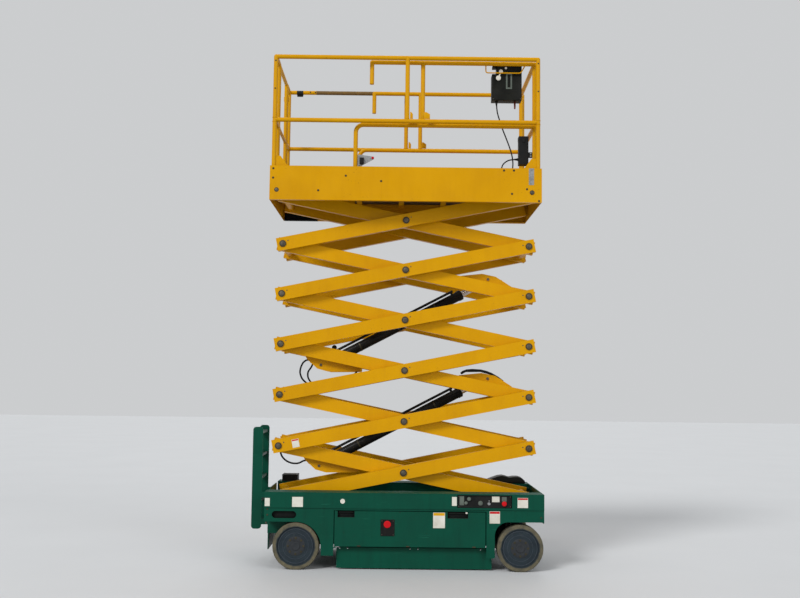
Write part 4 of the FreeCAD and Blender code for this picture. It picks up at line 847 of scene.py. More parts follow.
def addStopSwitch(look):
    (x0, x1), (z0, z1) = look["plate"]
    face = -look["face"]
    plate = block("stopPlate", (x0, face - 0.005, z0), (x1, face + 0.0002, z1))
    pickFaces(plate, lambda centre, normal: normal.y < -0.9)
    bpy.ops.mesh.inset(thickness=0.008, depth=-0.001)
    backToObject()
    settle(softened(plate, 0.0015), "side_door_right", blackPaint)
    x, z = look["button"]
    collar = disc("stopCollar", (x, face - 0.0045, z), look["radius"] * 0.86, 0.003, "y", 32)
    head = disc("stopHead", (x, face - 0.0062, z), look["radius"], 0.0026, "y", 40)
    pickFaces(head, lambda centre, normal: normal.y < -0.9)
    bpy.ops.mesh.inset(thickness=look["radius"] * 0.35, depth=0.0005)
    backToObject()
    button = joined("stopButton", [softened(collar, 0.0006), softened(head, 0.0008)])
    settle(button, "side_door_right", redPlastic)
    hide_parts("stop_switch")
    spots = [(a, face - 0.004, b, "-y") for a in (x0 + 0.012, x1 - 0.012) for b in (z0 + 0.012, z1 - 0.012)]
    settle(bolts("stopPlateBolts", spots, 0.003, 0.0025), "side_door_right", pinSteel)
    print("stop switch")


addStopSwitch(stopLook)


# dark cups behind the door handles, painted shade in the recesses; knuckles and latches
doorLook = {"cups": [(-0.504, -0.355), (0.461, 0.643)], "low": 0.455, "high": 0.510, "depth": 0.026, "wall": 0.002}


# painted shade: a near-black box lining a handle recess, where shade falls
def cupShadeBox(name, x, z, look):
    face = -lift["doorFace"]
    back = face + look["depth"]
    wall = look["wall"]
    panels = [
        block(name + "Back", (x[0], back - wall, z[0]), (x[1], back - 0.0002, z[1])),
        block(name + "Floor", (x[0], face + 0.0005, z[0] + 0.0002), (x[1], back, z[0] + wall)),
        block(name + "Rear", (x[0] + 0.0002, face + 0.0005, z[0]), (x[0] + wall, back, z[1])),
        block(name + "Front", (x[1] - wall, face + 0.0005, z[0]), (x[1] - 0.0002, back, z[1])),
    ]
    return joined(name, [softened(panel, 0.0006) for panel in panels])


def addDoorDetails(look):
    for side, body in (("Right", "side_door_right"), ("Left", "side_door_left")):
        cupShades = [cupShadeBox(f"cup{side}{index}", x, (look["low"], look["high"]), look) for index, x in enumerate(look["cups"])]
        grips = []
        for index, (x0, x1) in enumerate(look["cups"]):
            grip = rod(f"grip{side}{index}", (x0 + 0.012, -0.580, look["high"] - 0.012), (x1 - 0.012, -0.580, look["high"] - 0.012), 0.0045, 16)
            grips.append(softened(grip, 0.0008))
        # the cups and the grips in them take shadowPaint, which is painted shade
        cups = joined(f"handleCupShades{side}", cupShades + grips)
        paint(cups, shadowPaint)
        tab = block(f"latchTab{side}", (0.620, -0.5915, 0.496), (0.637, -0.586, 0.5095))
        paint(softened(tab, 0.0012), whitePlastic)
        tab = joined(f"latchTab{side}", [tab])
        hooks = []
        for index, x in enumerate((-0.330, 0.100, 0.680)):
            hook = block(f"doorHook{side}{index}", (x, -0.5965, 0.2045), (x + 0.030, -0.5915, 0.2145))
            hooks.append(softened(hook, 0.0015))
        latches = joined(f"doorHooks{side}", hooks)
        paint(latches, pinDark)
        for piece, slot in ((cups, "black_plastic"), (tab, None), (latches, "bare_steel")):
            if side == "Left":
                turnedOut(piece)
            carry(piece, body)
    print("door details")


addDoorDetails(doorLook)


def weld(name, centre, major, minor, along):
    deselectAll()
    bpy.ops.mesh.primitive_torus_add(major_segments=40, minor_segments=6, major_radius=major, minor_radius=minor, location=centre, rotation=turnTo[along])
    piece = named(name)
    for index, vertex in enumerate(piece.data.vertices):
        if (index // 6) % 2:
            vertex.co *= 1 + minor * 0.12 / major
    placeInMesh(piece)
    smooth(piece, 60)
    return piece


def bentBar(name, points, radius, bend):
    places = [Vector(points[0])]
    for before, corner, after in zip(points, points[1:], points[2:]):
        corner = Vector(corner)
        back = (Vector(before) - corner).normalized()
        ahead = (Vector(after) - corner).normalized()
        for step in range(9):
            share = step / 8
            start = corner + back * bend * (1 - share)
            end = corner + ahead * bend * share
            places.append(start.lerp(end, share))
    places.append(Vector(points[-1]))
    data = bpy.data.curves.new(name, "CURVE")
    data.dimensions = "3D"
    data.bevel_depth = radius
    data.bevel_resolution = 4
    data.use_fill_caps = True
    line = data.splines.new("POLY")
    line.points.add(len(places) - 1)
    for point, place in zip(line.points, places):
        point.co = (*place, 1)
    bar = bpy.data.objects.new(name, data)
    bpy.context.scene.collection.objects.link(bar)
    only(bar)
    bpy.ops.object.convert(target="MESH")
    bar = named(name)
    smooth(bar, 50)
    return bar


# wheel middles: hub cap, nut ring and the bead of the rim
hubLook = {
    "recess": 0.5900,
    "height": 0.203,
    "wheels": [("rear_wheel", -0.867), ("front_wheel", 1.100)],
    "studs": 8,
    "studCircle": 0.068,
}


def addHubs(look):
    face = -look["recess"]
    for wheel, x in look["wheels"]:
        z = look["height"]
        flange = disc("hubFlange", (x, face - 0.0012, z), 0.084, 0.0030, "y", 48)
        pickFaces(flange, lambda centre, normal: normal.y < -0.9)
        bpy.ops.mesh.inset(thickness=0.030, depth=-0.0010)
        backToObject()
        cap = disc("hubCap", (x, face - 0.0035, z), 0.038, 0.0070, "y", 40)
        pickFaces(cap, lambda centre, normal: normal.y < -0.9)
        bpy.ops.mesh.inset(thickness=0.008, depth=0.0012)
        bpy.ops.mesh.inset(thickness=0.004, depth=-0.0010)
        backToObject()
        bead = weld("rimBead", (x, face - 0.0002, z), 0.148, 0.0032, "y")
        step = weld("rimStep", (x, face - 0.0002, z), 0.112, 0.0022, "y")
        paintAll([softened(flange, 0.0008), softened(cap, 0.0010)], hubDark)
        paintAll([bead, step], wheelFace)
        spots = []
        for stud in range(look["studs"]):
            turn = math.tau * stud / look["studs"]
            spots.append((x + look["studCircle"] * math.cos(turn), face - 0.0022, z + look["studCircle"] * math.sin(turn), "-y"))
        nuts = paint(bolts("hubNuts", spots, 0.0075, 0.0048), pinDark)
        right = joined(f"{wheel}HubRight", [flange, cap, bead, step, nuts])
        carry(mirrored(right, f"{wheel}HubLeft"), f"{wheel}_left")
        carry(right, f"{wheel}_right")
    print("wheel hubs")


addHubs(hubLook)


# platform control box with its levers, guard hoop and plug
boxLook = {
    "low": (0.849, -0.4737, 4.247),
    "high": (1.124, -0.364, 4.580),
    "notch": (0.893, 4.493),
    "plate": (0.978, 1.034, 4.353, 4.504),
    "plug": (1.066, 4.180),
    "levers": [(0.9075, 4.452, 0.023), (0.930, 4.514, 0.019), (0.9755, 4.547, 0.011)],
}


def cutWith(piece, tool):
    hollow = piece.modifiers.new("cut", "BOOLEAN")
    hollow.operation = "DIFFERENCE"
    hollow.solver = "EXACT"
    hollow.object = tool
    applyAll(piece)
    bpy.data.objects.remove(tool)
    return piece


def addControlBox(look):
    (x0, y0, z0), (x1, y1, z1) = look["low"], look["high"]
    housing = block("controlHousing", look["low"], look["high"])
    cutWith(housing, block("notchTool", (x0 - 0.01, y0 - 0.01, look["notch"][1]), (look["notch"][0], y1 + 0.01, z1 + 0.01)))
    pickFaces(housing, lambda centre, normal: normal.y < -0.9)
    bpy.ops.mesh.inset(thickness=0.010, depth=0)
    bpy.ops.mesh.inset(thickness=0.002, depth=-0.0015)
    backToObject()
    shoulder = block("boxShoulder", (x0 + 0.006, y0 + 0.002, z1 - 0.024), (look["notch"][0] + 0.006, y1 - 0.030, z1 - 0.0005))
    housing = joined("controlHousing", [softened(housing, 0.003, 3), softened(shoulder, 0.002)])
    settle(housing, "extension", boxPlastic)
    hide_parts("control_box")
    a, b, low, high = look["plate"]
    plate = block("controlPlate", (a, y0 - 0.0008, low), (b, y0 + 0.0016, high))
    pickFaces(plate, lambda centre, normal: normal.y < -0.9)
    bpy.ops.mesh.inset(thickness=0.014, depth=-0.0004)
    backToObject()
    softenEdges(plate, 0.0004, 1)
    paint(plate, greyPlastic, boxPlastic)
    for face in plate.data.polygons:
        middle = face.center
        face.material_index = 1 if a + 0.013 < middle.x < b - 0.013 and low + 0.013 < middle.z < high - 0.013 else 0
    lever = rod("sideLever", (0.9075, y0 - 0.008, 4.452), (0.930, y0 - 0.008, 4.514), 0.0070, 16)
    knobs = [lever]
    for index, (x, z, radius) in enumerate(look["levers"]):
        knobs.append(disc(f"sideKnobFoot{index}", (x, y0 - 0.001, z), radius * 0.6, 0.006, "y", 24))
        knob = disc(f"sideKnob{index}", (x, y0 - 0.009, z), radius, 0.012, "y", 32)
        pickFaces(knob, lambda centre, normal: normal.y < -0.9)
        bpy.ops.mesh.inset(thickness=radius * 0.35, depth=0.0025)
        backToObject()
        knobs.append(knob)
    paintAll([softened(piece, 0.0016) for piece in knobs], whitePlastic)
    carry(joined("controlPlateAndLevers", [plate] + knobs), "extension")
    boot = cone("joystickBoot", (0.938, -0.412, z1 - 0.001), (0.938, -0.412, z1 + 0.013), 0.019, 0.008, 28)
    pickFaces(boot, lambda centre, normal: normal.z > 0.9)
    bpy.ops.mesh.inset(thickness=0.001, depth=0.002)
    backToObject()
    stick = rod("joystickStick", (0.938, -0.412, z1 + 0.010), (0.934, -0.412, z1 + 0.032), 0.0042, 14)
    grip = cone("joystickGrip", (0.9365, -0.412, z1 + 0.018), (0.934, -0.412, z1 + 0.038), 0.0075, 0.0100, 20)
    panel = block("topPanel", (0.905, -0.452, z1 - 0.0005), (1.105, -0.384, z1 + 0.0012))
    inner = block("innerPanel", (0.905, y1 - 0.0006, 4.300), (1.105, y1 + 0.0012, 4.470))
    joystick = [softened(boot, 0.0012), softened(stick, 0.0006), softened(grip, 0.0022), softened(panel, 0.0004), softened(inner, 0.0004)]
    settle(joined("joystick", joystick), "extension", blackPlastic)
    head = disc("boxStopHead", (1.066, -0.418, z1 + 0.016), 0.019, 0.012, "z", 36)
    pickFaces(head, lambda centre, normal: normal.z > 0.9)
    bpy.ops.mesh.inset(thickness=0.006, depth=0.002)
    backToObject()
    neck = disc("boxStopNeck", (1.066, -0.418, z1 + 0.006), 0.011, 0.012, "z", 28)
    plug = cone("boxPlug", (look["plug"][0], -0.420, z0 + 0.001), (look["plug"][0], -0.420, look["plug"][1]), 0.010, 0.007, 20)
    paintAll([softened(head, 0.0020), softened(neck, 0.0008)], redPlastic)
    paint(softened(plug, 0.0016), rustBrown)
    carry(joined("boxStopAndPlug", [head, neck, plug]), "extension")
    hoop = bentBar("boxHoop", [(0.790, -0.4925, 4.566), (0.790, -0.4925, 4.497), (1.112, -0.4925, 4.497), (1.150, -0.4925, 4.566)], 0.0055, 0.022)
    feet = [weld("hoopWeld", (x, -0.4925, 4.5625), 0.0060, 0.0022, "z") for x in (0.790, 1.147)]
    settle(joined("boxHoop", [hoop] + feet), "extension", yellowPaint)
    spots = [(x, y0 - 0.0004, z, "-y") for x, z in ((x0 + 0.012, z0 + 0.012), (x1 - 0.012, z0 + 0.012), (x1 - 0.012, z1 - 0.012))]
    settle(bolts("boxBolts", spots, 0.0035, 0.0026), "extension", pinSteel)
    print("platform control box")


addControlBox(boxLook)


# document box lid, latch plates' bolts and grips
def addExtensionFittings():
    shell = block("documentLid", (1.0955, -0.4853, 3.868), (1.1865, -0.4030, 3.9075))
    pickFaces(shell, lambda centre, normal: normal.z > 0.9)
    bpy.ops.mesh.inset(thickness=0.008, depth=0.0016)
    backToObject()
    clasp = block("documentClasp", (1.128, -0.4885, 3.850), (1.154, -0.4835, 3.885))
    seams = [softened(shell, 0.0022), softened(clasp, 0.0012)]
    settle(joined("documentLid", seams), "extension", blackPlastic)
    gateSide = []
    for sign in (-1, 1):
        for x, z in ((-0.366, 3.700), (-0.366, 3.616)):
            gateSide.append((x, sign * 0.4985, z, "-y" if sign < 0 else "+y"))
        for x, z in ((1.2035, 3.7415), (1.2035, 3.7185)):
            if sign < 0:
                gateSide.append((x, -0.4985, z, "-y"))
    settle(bolts("latchBolts", gateSide, 0.0065, 0.0055), "extension", galvanised)
    grips = []
    for sign in (-1, 1):
        grip = rod("latchGrip", (-0.2427, sign * 0.4975, 3.684), (-0.2427, sign * 0.5105, 3.684), 0.0112, 24)
        grips.append(softened(grip, 0.0022))
    settle(joined("latchGrips", grips), "extension", redPlastic)
    bases = [softened(block("latchBase", (-0.362, sign * 0.5165 - 0.0070, 3.620), (-0.322, sign * 0.5165 + 0.0070, 3.682)), 0.0030) for sign in (-1, 1)]
    settle(joined("latchBases", bases), "extension", blackPlastic)
    spots = []
    for sign in (-1, 1):
        for x in (-0.401, 0.211, 1.238):
            spots.append(weld("slideWeld", (x, sign * lift["slideRailY"], 4.5625 if x > 0 else 3.4705), 0.0205, 0.0030, "z"))
        spots.append(weld("slideWeld", (0.211, sign * lift["slideRailY"], 4.0125), 0.0205, 0.0030, "z"))
        spots.append(weld("slideWeld", (1.238, sign * lift["slideRailY"], 3.4715), 0.0205, 0.0030, "z"))
        spots.append(weld("slideWeld", (1.2185, sign * lift["slideRailY"], 3.993), 0.0205, 0.0030, "x"))
        cap = disc("stubCap", (-0.260, sign * lift["slideRailY"], 4.3765), 0.0192, 0.004, "z", 32)
        spots.append(softened(cap, 0.0012))
    settle(joined("extensionWelds", spots), "extension", yellowPaint)
    print("extension fittings")


addExtensionFittings()


# platform: panel bolts, seam, plated strip, rail joints and brackets
platformLook = {
    "face": 0.595,
    "bolts": [(0.949, 3.561), (1.039, 3.562), (1.157, 3.392), (1.022, 3.348), (1.266, 3.285), (-0.728, 3.359), (-0.481, 3.496), (-1.137, 3.556), (-1.137, 3.470), (-0.161, 3.450)],
    "seam": (-0.161, 3.277, 3.423),
    "strip": (1.174, 1.220, 3.431, 3.583),
    "brackets": [(0.094, 0.120), (0.221, 0.276)],
    "bracketZ": (4.0355, 4.099),
    "endHeights": (3.2725, 3.4520),
    "frontEnd": 1.2905,
    "rearEnd": -1.1679,
    "hole": (-1.104, 3.3612),
}


def endPlate(name, near):
    bottom, top = platformLook["endHeights"]
    plate = flatPlate(name, [(-0.590, bottom), (0.590, bottom), (0.590, top), (-0.590, top)], -0.0011, 0.0022)
    softenEdges(plate, 0.0006, 1, 30)
    return moved(plate, Matrix.Translation((near, 0, 0)) @ Matrix.Rotation(math.pi / 2, 4, "Z"))


def addPlatformDetails(look):
    face = look["face"]
    plates = [endPlate("frontPlate", look["frontEnd"]), endPlate("rearPlate", look["rearEnd"])]
    settle(joined("endPlates", plates), "platform", yellowPaint)
    # painted shade: near-black sheets on the inner face and lower edge of the far panel at the rear end, where shade
    # falls under the deck
    shadeSheets = [
        block("shadeSheetInside", (-1.160, 0.5832, 3.2822), (-0.820, 0.5849, 3.3500)),
        block("shadeSheetUnder", (-1.160, 0.5548, 3.2712), (-0.820, 0.5945, 3.2720)),
        block("shadeSheetEdge", (-1.160, 0.5541, 3.2712), (-0.820, 0.5550, 3.2820)),
    ]
    shadeSheet = joined("panelShadeSheet", [softened(piece, 0.0002, 1) for piece in shadeSheets])
    settle(shadeSheet, "platform", shadowPaint)
    plug = pinEnd({**pinLook, "ring": 0.0206, "core": 0.0135, "depth": 0.0022})
    plug = moved(plug, Matrix.Translation((look["hole"][0], -face + 0.0012, look["hole"][1])))
    carry(joined("holePlugs", [plug, mirrored(plug, "holePlugLeft")]), "platform")
    spots = []
    for sign, way in ((-1, "-y"), (1, "+y")):
        spots += [(x, sign * face, z, way) for x, z in look["bolts"]]
    settle(bolts("panelBolts", spots, 0.0075, 0.0045), "platform", pinDark)
    x0, x1, z0, z1 = look["strip"]
    strip = block("panelStrip", (x0, -face - 0.0022, z0), (x1, -face + 0.0002, z1))
    pickFaces(strip, lambda centre, normal: normal.y < -0.9)
    bpy.ops.mesh.inset(thickness=0.004, depth=-0.0005)
    backToObject()
    softenEdges(strip, 0.0006)
    heads = bolts("stripBolts", [((x0 + x1) / 2, -face - 0.0016, z, "-y") for z in (z0 + 0.019, z1 - 0.013)], 0.0050, 0.0030)
    right = joined("panelStrip", [paint(strip, galvanised), paint(heads, galvanised)])
    carry(joined("panelStrips", [right, mirrored(right, "stripLeft")]), "platform")
    x, low, high = look["seam"]
    seam = block("panelSeam", (x - 0.0025, -face - 0.0010, low), (x + 0.0025, -face + 0.0004, high))
    softenEdges(seam, 0.0007)
    seams = joined("panelSeams", [seam, mirrored(seam, "seamLeft")])
    settle(seams, "platform", yellowPaint)
    joints = []
    for sign in (-1, 1):
        y = sign * lift["railY"]
        for x in (-1.1377, 1.2617):
            for z in (3.4630, 3.9945, 4.0315):
                joints.append(weld("railWeld", (x, y, z), 0.0205, 0.0030, "z"))
            joints.append(weld("railWeld", (x + (0.0205 if x < 0 else -0.0205), y, 4.013), 0.0200, 0.0030, "x"))
        for z in (4.0335, 4.5815):
            joints.append(weld("railWeld", (0.068, y, z), 0.0200, 0.0030, "z"))
        joints.append(weld("railWeld", (-1.1377, sign * 0.328, 3.4630), 0.0205, 0.0030, "z"))
        joints.append(weld("railWeld", (-1.1377, sign * 0.5440, 4.013), 0.0200, 0.0030, "y"))
    settle(joined("railWelds", joints), "platform", yellowPaint)
    brackets = []
    low, high = look["bracketZ"]
    for sign in (-1, 1):
        for a, b in look["brackets"]:
            leaf = flatPlate("railBracket", [(a, low), (b, low), (b, high - 0.02), (a + (b - a) * 0.45, high), (a, high)], sign * lift["railY"] - 0.003, 0.006)
            brackets.append(softened(leaf, 0.0012))
    settle(joined("railBrackets", brackets), "platform", yellowPaint)
    dots = []
    for sign, way in ((-1, "-y"), (1, "+y")):
        for x, z in ((-1.1377, 4.560), (-1.1377, 4.300), (1.2617, 4.560), (1.2617, 4.300)):
            dots.append((x, sign * (lift["railY"] + 0.0195), z, way))
    dots += [(x, lift["railY"] - 0.0195, 4.603, "-y") for x in (-0.920, -0.868)]
    settle(bolts("postBolts", dots, 0.0055, 0.0035), "platform", pinDark)
    print("platform details")


addPlatformDetails(platformLook)


# clamp on the left top rail, and the gate's latch
def addRailClamp():
    y = lift["railY"]
    shell = disc("clampShell", (-1.025, y, 4.602), 0.0245, 0.064, "x", 36)
    shell = cutWith(shell, disc("clampTool", (-1.025, y, 4.602), 0.0203, 0.080, "x", 36))
    shell.data.transform(Matrix.Translation((0, 0, -0.0045)))
    ear = block("clampEar", (-1.055, y - 0.0070, 4.5600), (-0.995, y + 0.0070, 4.5790))
    parts = [softened(shell, 0.0008, 1), softened(ear, 0.0016)]
    settle(joined("railClamp", parts), "platform", blackPlastic)
    settle(bolts("clampBolts", [(x, y + 0.0070, 4.5695, "+y") for x in (-1.042, -1.008)], 0.0045, 0.0035), "platform", galvanised)
    x = -1.1377
    latch = block("gateLatchBody", (x - 0.0130, -0.3080, 4.300), (x + 0.0130, -0.2700, 4.340))
    tongue = rod("gateLatchTongue", (x, -0.2720, 4.320), (x, -0.2450, 4.320), 0.0050, 16)
    knob = disc("gateLatchKnob", (x, -0.2400, 4.320), 0.0100, 0.0120, "y", 24)
    pieces = [softened(latch, 0.0020), softened(tongue, 0.0008), softened(knob, 0.0020)]
    settle(joined("gateLatch", pieces), "gate", blackPlastic)
    beads = [weld("gateWeld", (x, sign * 0.2660, z), 0.0155, 0.0024, "y") for sign in (-1, 1) for z in (4.013,)]
    settle(joined("gateWelds", beads), "gate", yellowPaint)
    print("rail clamp and gate latch")


addRailClamp()


# chassis: bolts, cover screws, vents and battery caps
chassisLook = {
    "skirtBolts": [(-1.120, 0.520), (1.285, 0.470), (-1.120, 0.470)],
    "cowl": [
        (0.892, 0.6692), (1.273, 0.6692), (1.273, 0.6950), (1.238, 0.7260), (1.205, 0.7350), (1.160, 0.7345),
        (1.118, 0.7270), (1.088, 0.7370), (1.052, 0.7455), (1.005, 0.7380), (0.950, 0.7180), (0.892, 0.6950)],
    "charger": (-1.108, -0.958, 0.732),
    "pocket": (-1.090, -0.859, 0.434, 0.512),
    "pocketDepth": (0.5620, 0.5838),
    "wellPlate": (-1.1405, -0.6425, 0.285, 0.4215),
    "vents": 6,
    "caps": 6,
    "packs": 4,
}


def addChassisDetails(look):
    spots = []
    for sign, way in ((-1, "-y"), (1, "+y")):
        spots += [(x, sign * lift["doorFace"], z, way) for x, z in look["skirtBolts"]]
    heads = bolts("skirtBolts", spots, 0.0060, 0.0046)
    settle(heads, "chassis", pinDark)
    # painted shade: a near-black box behind the slot in each skirt, where the inside falls in shade
    x0, x1, z0, z1 = look["pocket"]
    inner, outer = look["pocketDepth"]
    wall = 0.002
    panels = [
        block("pocketBack", (x0, -inner - wall, z0), (x1, -inner, z1)),
        block("pocketFloor", (x0, -outer, z0), (x1, -inner, z0 + wall)),
        block("pocketTop", (x0, -outer, z1 - wall), (x1, -inner, z1)),
        block("pocketRear", (x0, -outer, z0), (x0 + wall, -inner, z1)),
        block("pocketFront", (x1 - wall, -outer, z0), (x1, -inner, z1)),
    ]
    pocketShade = paint(joined("pocketShadeRight", [softened(panel, 0.0005) for panel in panels]), shadowPaint)
    carry(mirrored(pocketShade, "pocketShadeLeft"), "chassis")
    carry(pocketShade, "chassis")
    x0, x1, z0, z1 = look["wellPlate"]
    well = paint(softened(block("wellPlateRight", (x0, -0.3985, z0), (x1, -0.3952, z1)), 0.0008), greenPaint)
    carry(mirrored(well, "wellPlateLeft"), "chassis")
    carry(well, "chassis")
    cowl = flatPlate("valveCowl", look["cowl"], 0.411, 0.158)
    softenEdges(cowl, 0.010, 4, 8)
    smooth(cowl, 50)
    settle(cowl, "chassis", boxPlastic)
    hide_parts("valve_cover")
    x0, x1, top = look["charger"]
    lid = block("chargerLid", (x0 - 0.0015, 0.4085, top - 0.010), (x1 + 0.0015, 0.5715, top + 0.0012))
    pickFaces(lid, lambda centre, normal: normal.z > 0.9)
    bpy.ops.mesh.inset(thickness=0.012, depth=0)
    bpy.ops.mesh.inset(thickness=0.004, depth=0.0016)
    backToObject()
    settle(softened(lid, 0.0014), "chassis", blackPaint)
    corners = [(x, y, top + 0.0012, "+z") for x in (x0 + 0.008, x1 - 0.008) for y in (0.418, 0.562)]
    settle(bolts("lidScrews", corners, 0.0042, 0.0030), "chassis", galvanised)
    # painted shade: near-black strips on the charger side standing for the shaded vent openings
    shadeStrips = []
    for index in range(look["vents"]):
        z = 0.678 + index * 0.0072
        shadeStrip = flatPlate("ventShadeStrip", [(-1.085, z), (-0.981, z), (-0.981, z + 0.0032), (-1.085, z + 0.0032)], 0.4075, 0.003)
        shadeStrips.append(softened(shadeStrip, 0.0007))
    settle(joined("chargerVentShades", shadeStrips), "chassis", shadowPaint)
    caps = []
    for sign in (-1, 1):
        for pack in range(look["packs"]):
            start = -0.479 + pack * 0.290
            for cap in range(look["caps"]):
                x = start + 0.030 + cap * 0.046
                piece = disc("batteryCap", (x, sign * 0.470, 0.4855), 0.0130, 0.007, "z", 24)
                pickFaces(piece, lambda centre, normal: normal.z > 0.9)
                bpy.ops.mesh.inset(thickness=0.003, depth=0.0012)
                backToObject()
                caps.append(softened(piece, 0.0009, 1))
            if pack:
                wall = block("packSeam", (start - 0.0012, sign * 0.512 - 0.030, 0.4815), (start + 0.0012, sign * 0.512 + 0.028, 0.4842))
                caps.append(softened(wall, 0.0006, 1))
    settle(joined("batteryCaps", caps), "chassis", redPlastic)
    print("chassis details")


addChassisDetails(chassisLook)


# ladder: folded grip strips on the steps and bolts through the brackets
ladderStep = {"thickness": 0.022}


def addLadderDetails():
    stepTop = ladderStep["thickness"]
    strips = []
    for step in range(5):
        z = 0.328 + step * 0.207
        for row in range(4):
            x = -1.2935 + row * 0.0185
            rib = block("stepRib", (x, -0.215, z + 0.0000), (x + 0.0045, 0.215, z + 0.0032))
            rib.data.transform(Matrix.Translation((0, 0, stepTop)))
            strips.append(softened(rib, 0.0010, 1))
    settle(joined("stepRibs", strips), "chassis", greenPaint)
    spots = []
    for sign, way in ((-1, "-y"), (1, "+y")):
        for z in (0.5925, 0.6140, 0.3530, 0.3730):
            spots.append((-1.175, sign * 0.2350, z, way))
    settle(bolts("ladderBolts", spots, 0.0070, 0.0050), "chassis", pinSteel)
    print("ladder details")


addLadderDetails()


# cylinders: gland ring, tail collar, weld bead, rod wiper and pipe bands on the barrels
cylinderLook = {"tail": (-0.765, -0.110), "eye": (0.765, 0.090), "length": 1.480, "barrel": 0.045, "rod": 0.028}


def cylinderFrame(level):
    tail = armFrame("inner", level) @ Vector((cylinderLook["tail"][0], 0, cylinderLook["tail"][1]))
    eye = armFrame("inner", level + 2) @ Vector((cylinderLook["eye"][0], 0, cylinderLook["eye"][1]))
    away = eye - tail
    slope = math.atan2(away.z, away.x)
    return Matrix.Translation(tail) @ Matrix.Rotation(-slope, 4, "Y")


def addCylinderDetails(look):
    for name, level in (("lower", 1), ("upper", 3)):
        frameOf = cylinderFrame(level)
        head = disc("glandHead", (look["length"] - 0.022, 0, 0), look["barrel"] + 0.0042, 0.042, "x", 40)
        head = cutWith(head, disc("glandTool", (look["length"] - 0.022, 0, 0), look["barrel"] - 0.0004, 0.080, "x", 40))
        base = disc("tailCollar", (0.095, 0, 0), look["barrel"] + 0.0038, 0.018, "x", 40)
        base = cutWith(base, disc("collarTool", (0.095, 0, 0), look["barrel"] - 0.0004, 0.040, "x", 40))
        bead = weld("barrelWeld", (0.108, 0, 0), look["barrel"] + 0.0004, 0.0024, "x")
        wiper = disc("rodWiper", (look["length"] + 0.0032, 0, 0), 0.0375, 0.0062, "x", 40)
        wiper = cutWith(wiper, disc("wiperTool", (look["length"] + 0.0032, 0, 0), look["rod"] + 0.0006, 0.020, "x", 40))
        ring = joined(f"{name}Gland", [softened(head, 0.0012, 1), softened(base, 0.0012, 1), bead, softened(wiper, 0.0008, 1)])
        settle(moved(ring, frameOf), f"{name}_barrel", blackPaint)
        bands = []
        for along in (0.40, 0.80, 1.20):
            band = disc("pipeBand", (along, 0, 0), look["barrel"] + 0.0016, 0.014, "x", 40)
            band = cutWith(band, disc("bandTool", (along, 0, 0), look["barrel"] - 0.0002, 0.040, "x", 40))
            bands.append(softened(band, 0.0005, 1))
        settle(moved(joined(f"{name}PipeBands", bands), frameOf), f"{name}_barrel", pinDark)
    print("cylinder details")


addCylinderDetails(cylinderLook)


# arms: beads round the pin bosses and grease nipples
armLook = {
    "face": 0.385,
    "nipple": (0.052, 0.020),
}


def addArmDetails(look):
    nipples = (-1.155, 0.0, 1.155)
    for level in range(1, 7):
        frameOf = armFrame("outer", level)
        beads = []
        screws = []
        for index, along in enumerate(nipples):
            if level == 6 and index == 2:
                continue
            for sign in (-1, 1):
                beads.append(weld("bossWeld", (along, sign * (look["face"] + 0.0004), 0), 0.0335, 0.0020, "y"))
                du, dn = look["nipple"]
                inward = -du if along > 0 else du
                screws.append((along + inward, sign * look["face"], dn, "-y" if sign < 0 else "+y"))
        moved(joined(f"bossWelds{level}", beads), frameOf)
        settle(bpy.data.objects[f"bossWelds{level}"], f"outer_pair_{level}", yellowPaint)
        moved(bolts(f"greaseNipples{level}", screws, 0.0042, 0.0030), frameOf)
        settle(bpy.data.objects[f"greaseNipples{level}"], f"outer_pair_{level}", pinSteel)
    print("arm details")


addArmDetails(armLook)


# black hood over the level 3 gusset and the elbow fitting beside it
hoodLook = {
    "over": [(0.590, 1.7380), (0.612, 1.7560), (0.645, 1.7690), (0.700, 1.7740), (0.777, 1.7700), (0.830, 1.7580), (0.880, 1.7390), (0.940, 1.7050), (0.990, 1.6680)],
    "under": [(0.975, 1.6470), (0.920, 1.6840), (0.860, 1.7250), (0.777, 1.7470), (0.640, 1.7440), (0.600, 1.7215)],
    "near": -0.2360,
    "width": 0.0560,
    "fitting": (-0.679, 0.074),
}


def addHood(look):
    hood = flatPlate("gussetHood", look["over"] + look["under"], look["near"], look["width"])
    settle(softened(hood, 0.0040, 2, 20), "inner_pair_3", blackPlastic)
    along, up = look["fitting"]
    cup = disc("elbowCup", (along, -0.228, up), 0.022, 0.036, "y", 32)
    pickFaces(cup, lambda centre, normal: normal.y < -0.9)
    bpy.ops.mesh.inset(thickness=0.006, depth=0.003)
    bpy.ops.mesh.inset(thickness=0.004, depth=-0.004)
    backToObject()
    shelf = block("elbowShelf", (along - 0.020, -0.2565, 0.0480), (along + 0.020, -0.2080, 0.0530))
    leg = block("elbowLeg", (along - 0.020, -0.2568, 0.0150), (along + 0.020, -0.2530, 0.0530))
    parts = [softened(cup, 0.0020), softened(shelf, 0.0010), softened(leg, 0.0008)]
    settle(moved(joined("elbowFitting", parts), armFrame("inner", 3)), "inner_pair_3", blackPlastic)
    print("gusset hood and elbow fitting")


addHood(hoodLook)


# floor, world and lamps
stageLook = {"floor": (0.60, 0.61, 0.62, 1), "sky": (0.80, 0.82, 0.84, 1), "skyStrength": 0.55, "backdrop": (0.60, 0.61, 0.62, 1)}


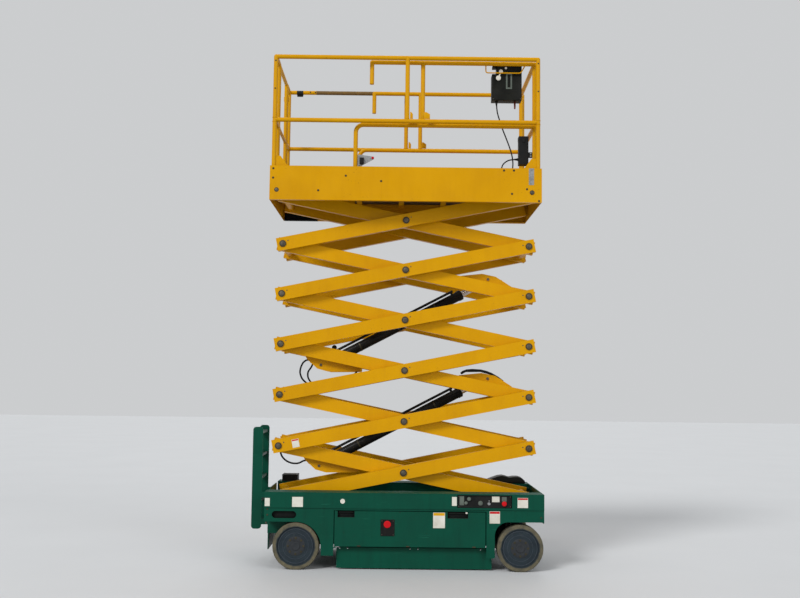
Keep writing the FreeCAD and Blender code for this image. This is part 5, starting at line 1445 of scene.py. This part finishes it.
def addStage(look):
    deselectAll()
    bpy.ops.mesh.primitive_plane_add(size=80, location=(0, 0, 0))
    floor = named("studioFloor")
    s = Surface("studioFloor")
    s.colour(s.mix(s.ramp(s.noise(0.8, 4), 0.3, 0.7), look["floor"], tuple(c * 0.97 for c in look["floor"][:3]) + (1,)))
    s.shader.inputs["Roughness"].default_value = 0.7
    floor.data.materials.append(s.material)
    world = bpy.data.worlds.new("studioWorld")
    bpy.context.scene.world = world
    world.use_nodes = True
    back = world.node_tree.nodes["Background"]
    back.inputs["Color"].default_value = look["sky"]
    back.inputs["Strength"].default_value = look["skyStrength"]
    tree = world.node_tree
    seen = tree.nodes.new("ShaderNodeBackground")
    seen.inputs["Color"].default_value = look["backdrop"]
    seen.inputs["Strength"].default_value = 1
    ray = tree.nodes.new("ShaderNodeLightPath")
    mixer = tree.nodes.new("ShaderNodeMixShader")
    share = ray.outputs["Is Camera Ray"]
    for kind in ("Is Glossy Ray", "Is Transmission Ray"):
        larger = tree.nodes.new("ShaderNodeMath")
        larger.operation = "MAXIMUM"
        tree.links.new(share, larger.inputs[0])
        tree.links.new(ray.outputs[kind], larger.inputs[1])
        share = larger.outputs[0]
    tree.links.new(share, mixer.inputs[0])
    tree.links.new(back.outputs[0], mixer.inputs[1])
    tree.links.new(seen.outputs[0], mixer.inputs[2])
    tree.links.new(mixer.outputs[0], tree.nodes["World Output"].inputs["Surface"])
    lamps = (
        ("keyLamp", (-5.5, -7.0, 8.5), 2.1, 0.30),
        ("fillLamp", (6.5, -6.5, 5.0), 0.7, 0.60),
        ("backLamp", (0.0, 6.5, 8.0), 0.5, 0.60),
    )
    for name, place, power, width in lamps:
        data = bpy.data.lights.new(name, "SUN")
        data.energy = power
        data.angle = width
        lamp = bpy.data.objects.new(name, data)
        bpy.context.scene.collection.objects.link(lamp)
        lamp.location = place
        lamp.rotation_euler = (Vector((0, 0, 1.8)) - Vector(place)).to_track_quat("-Z", "Y").to_euler()
    bpy.context.scene.view_settings.view_transform = "Standard"
    print("stage and lamps placed")


addStage(stageLook)
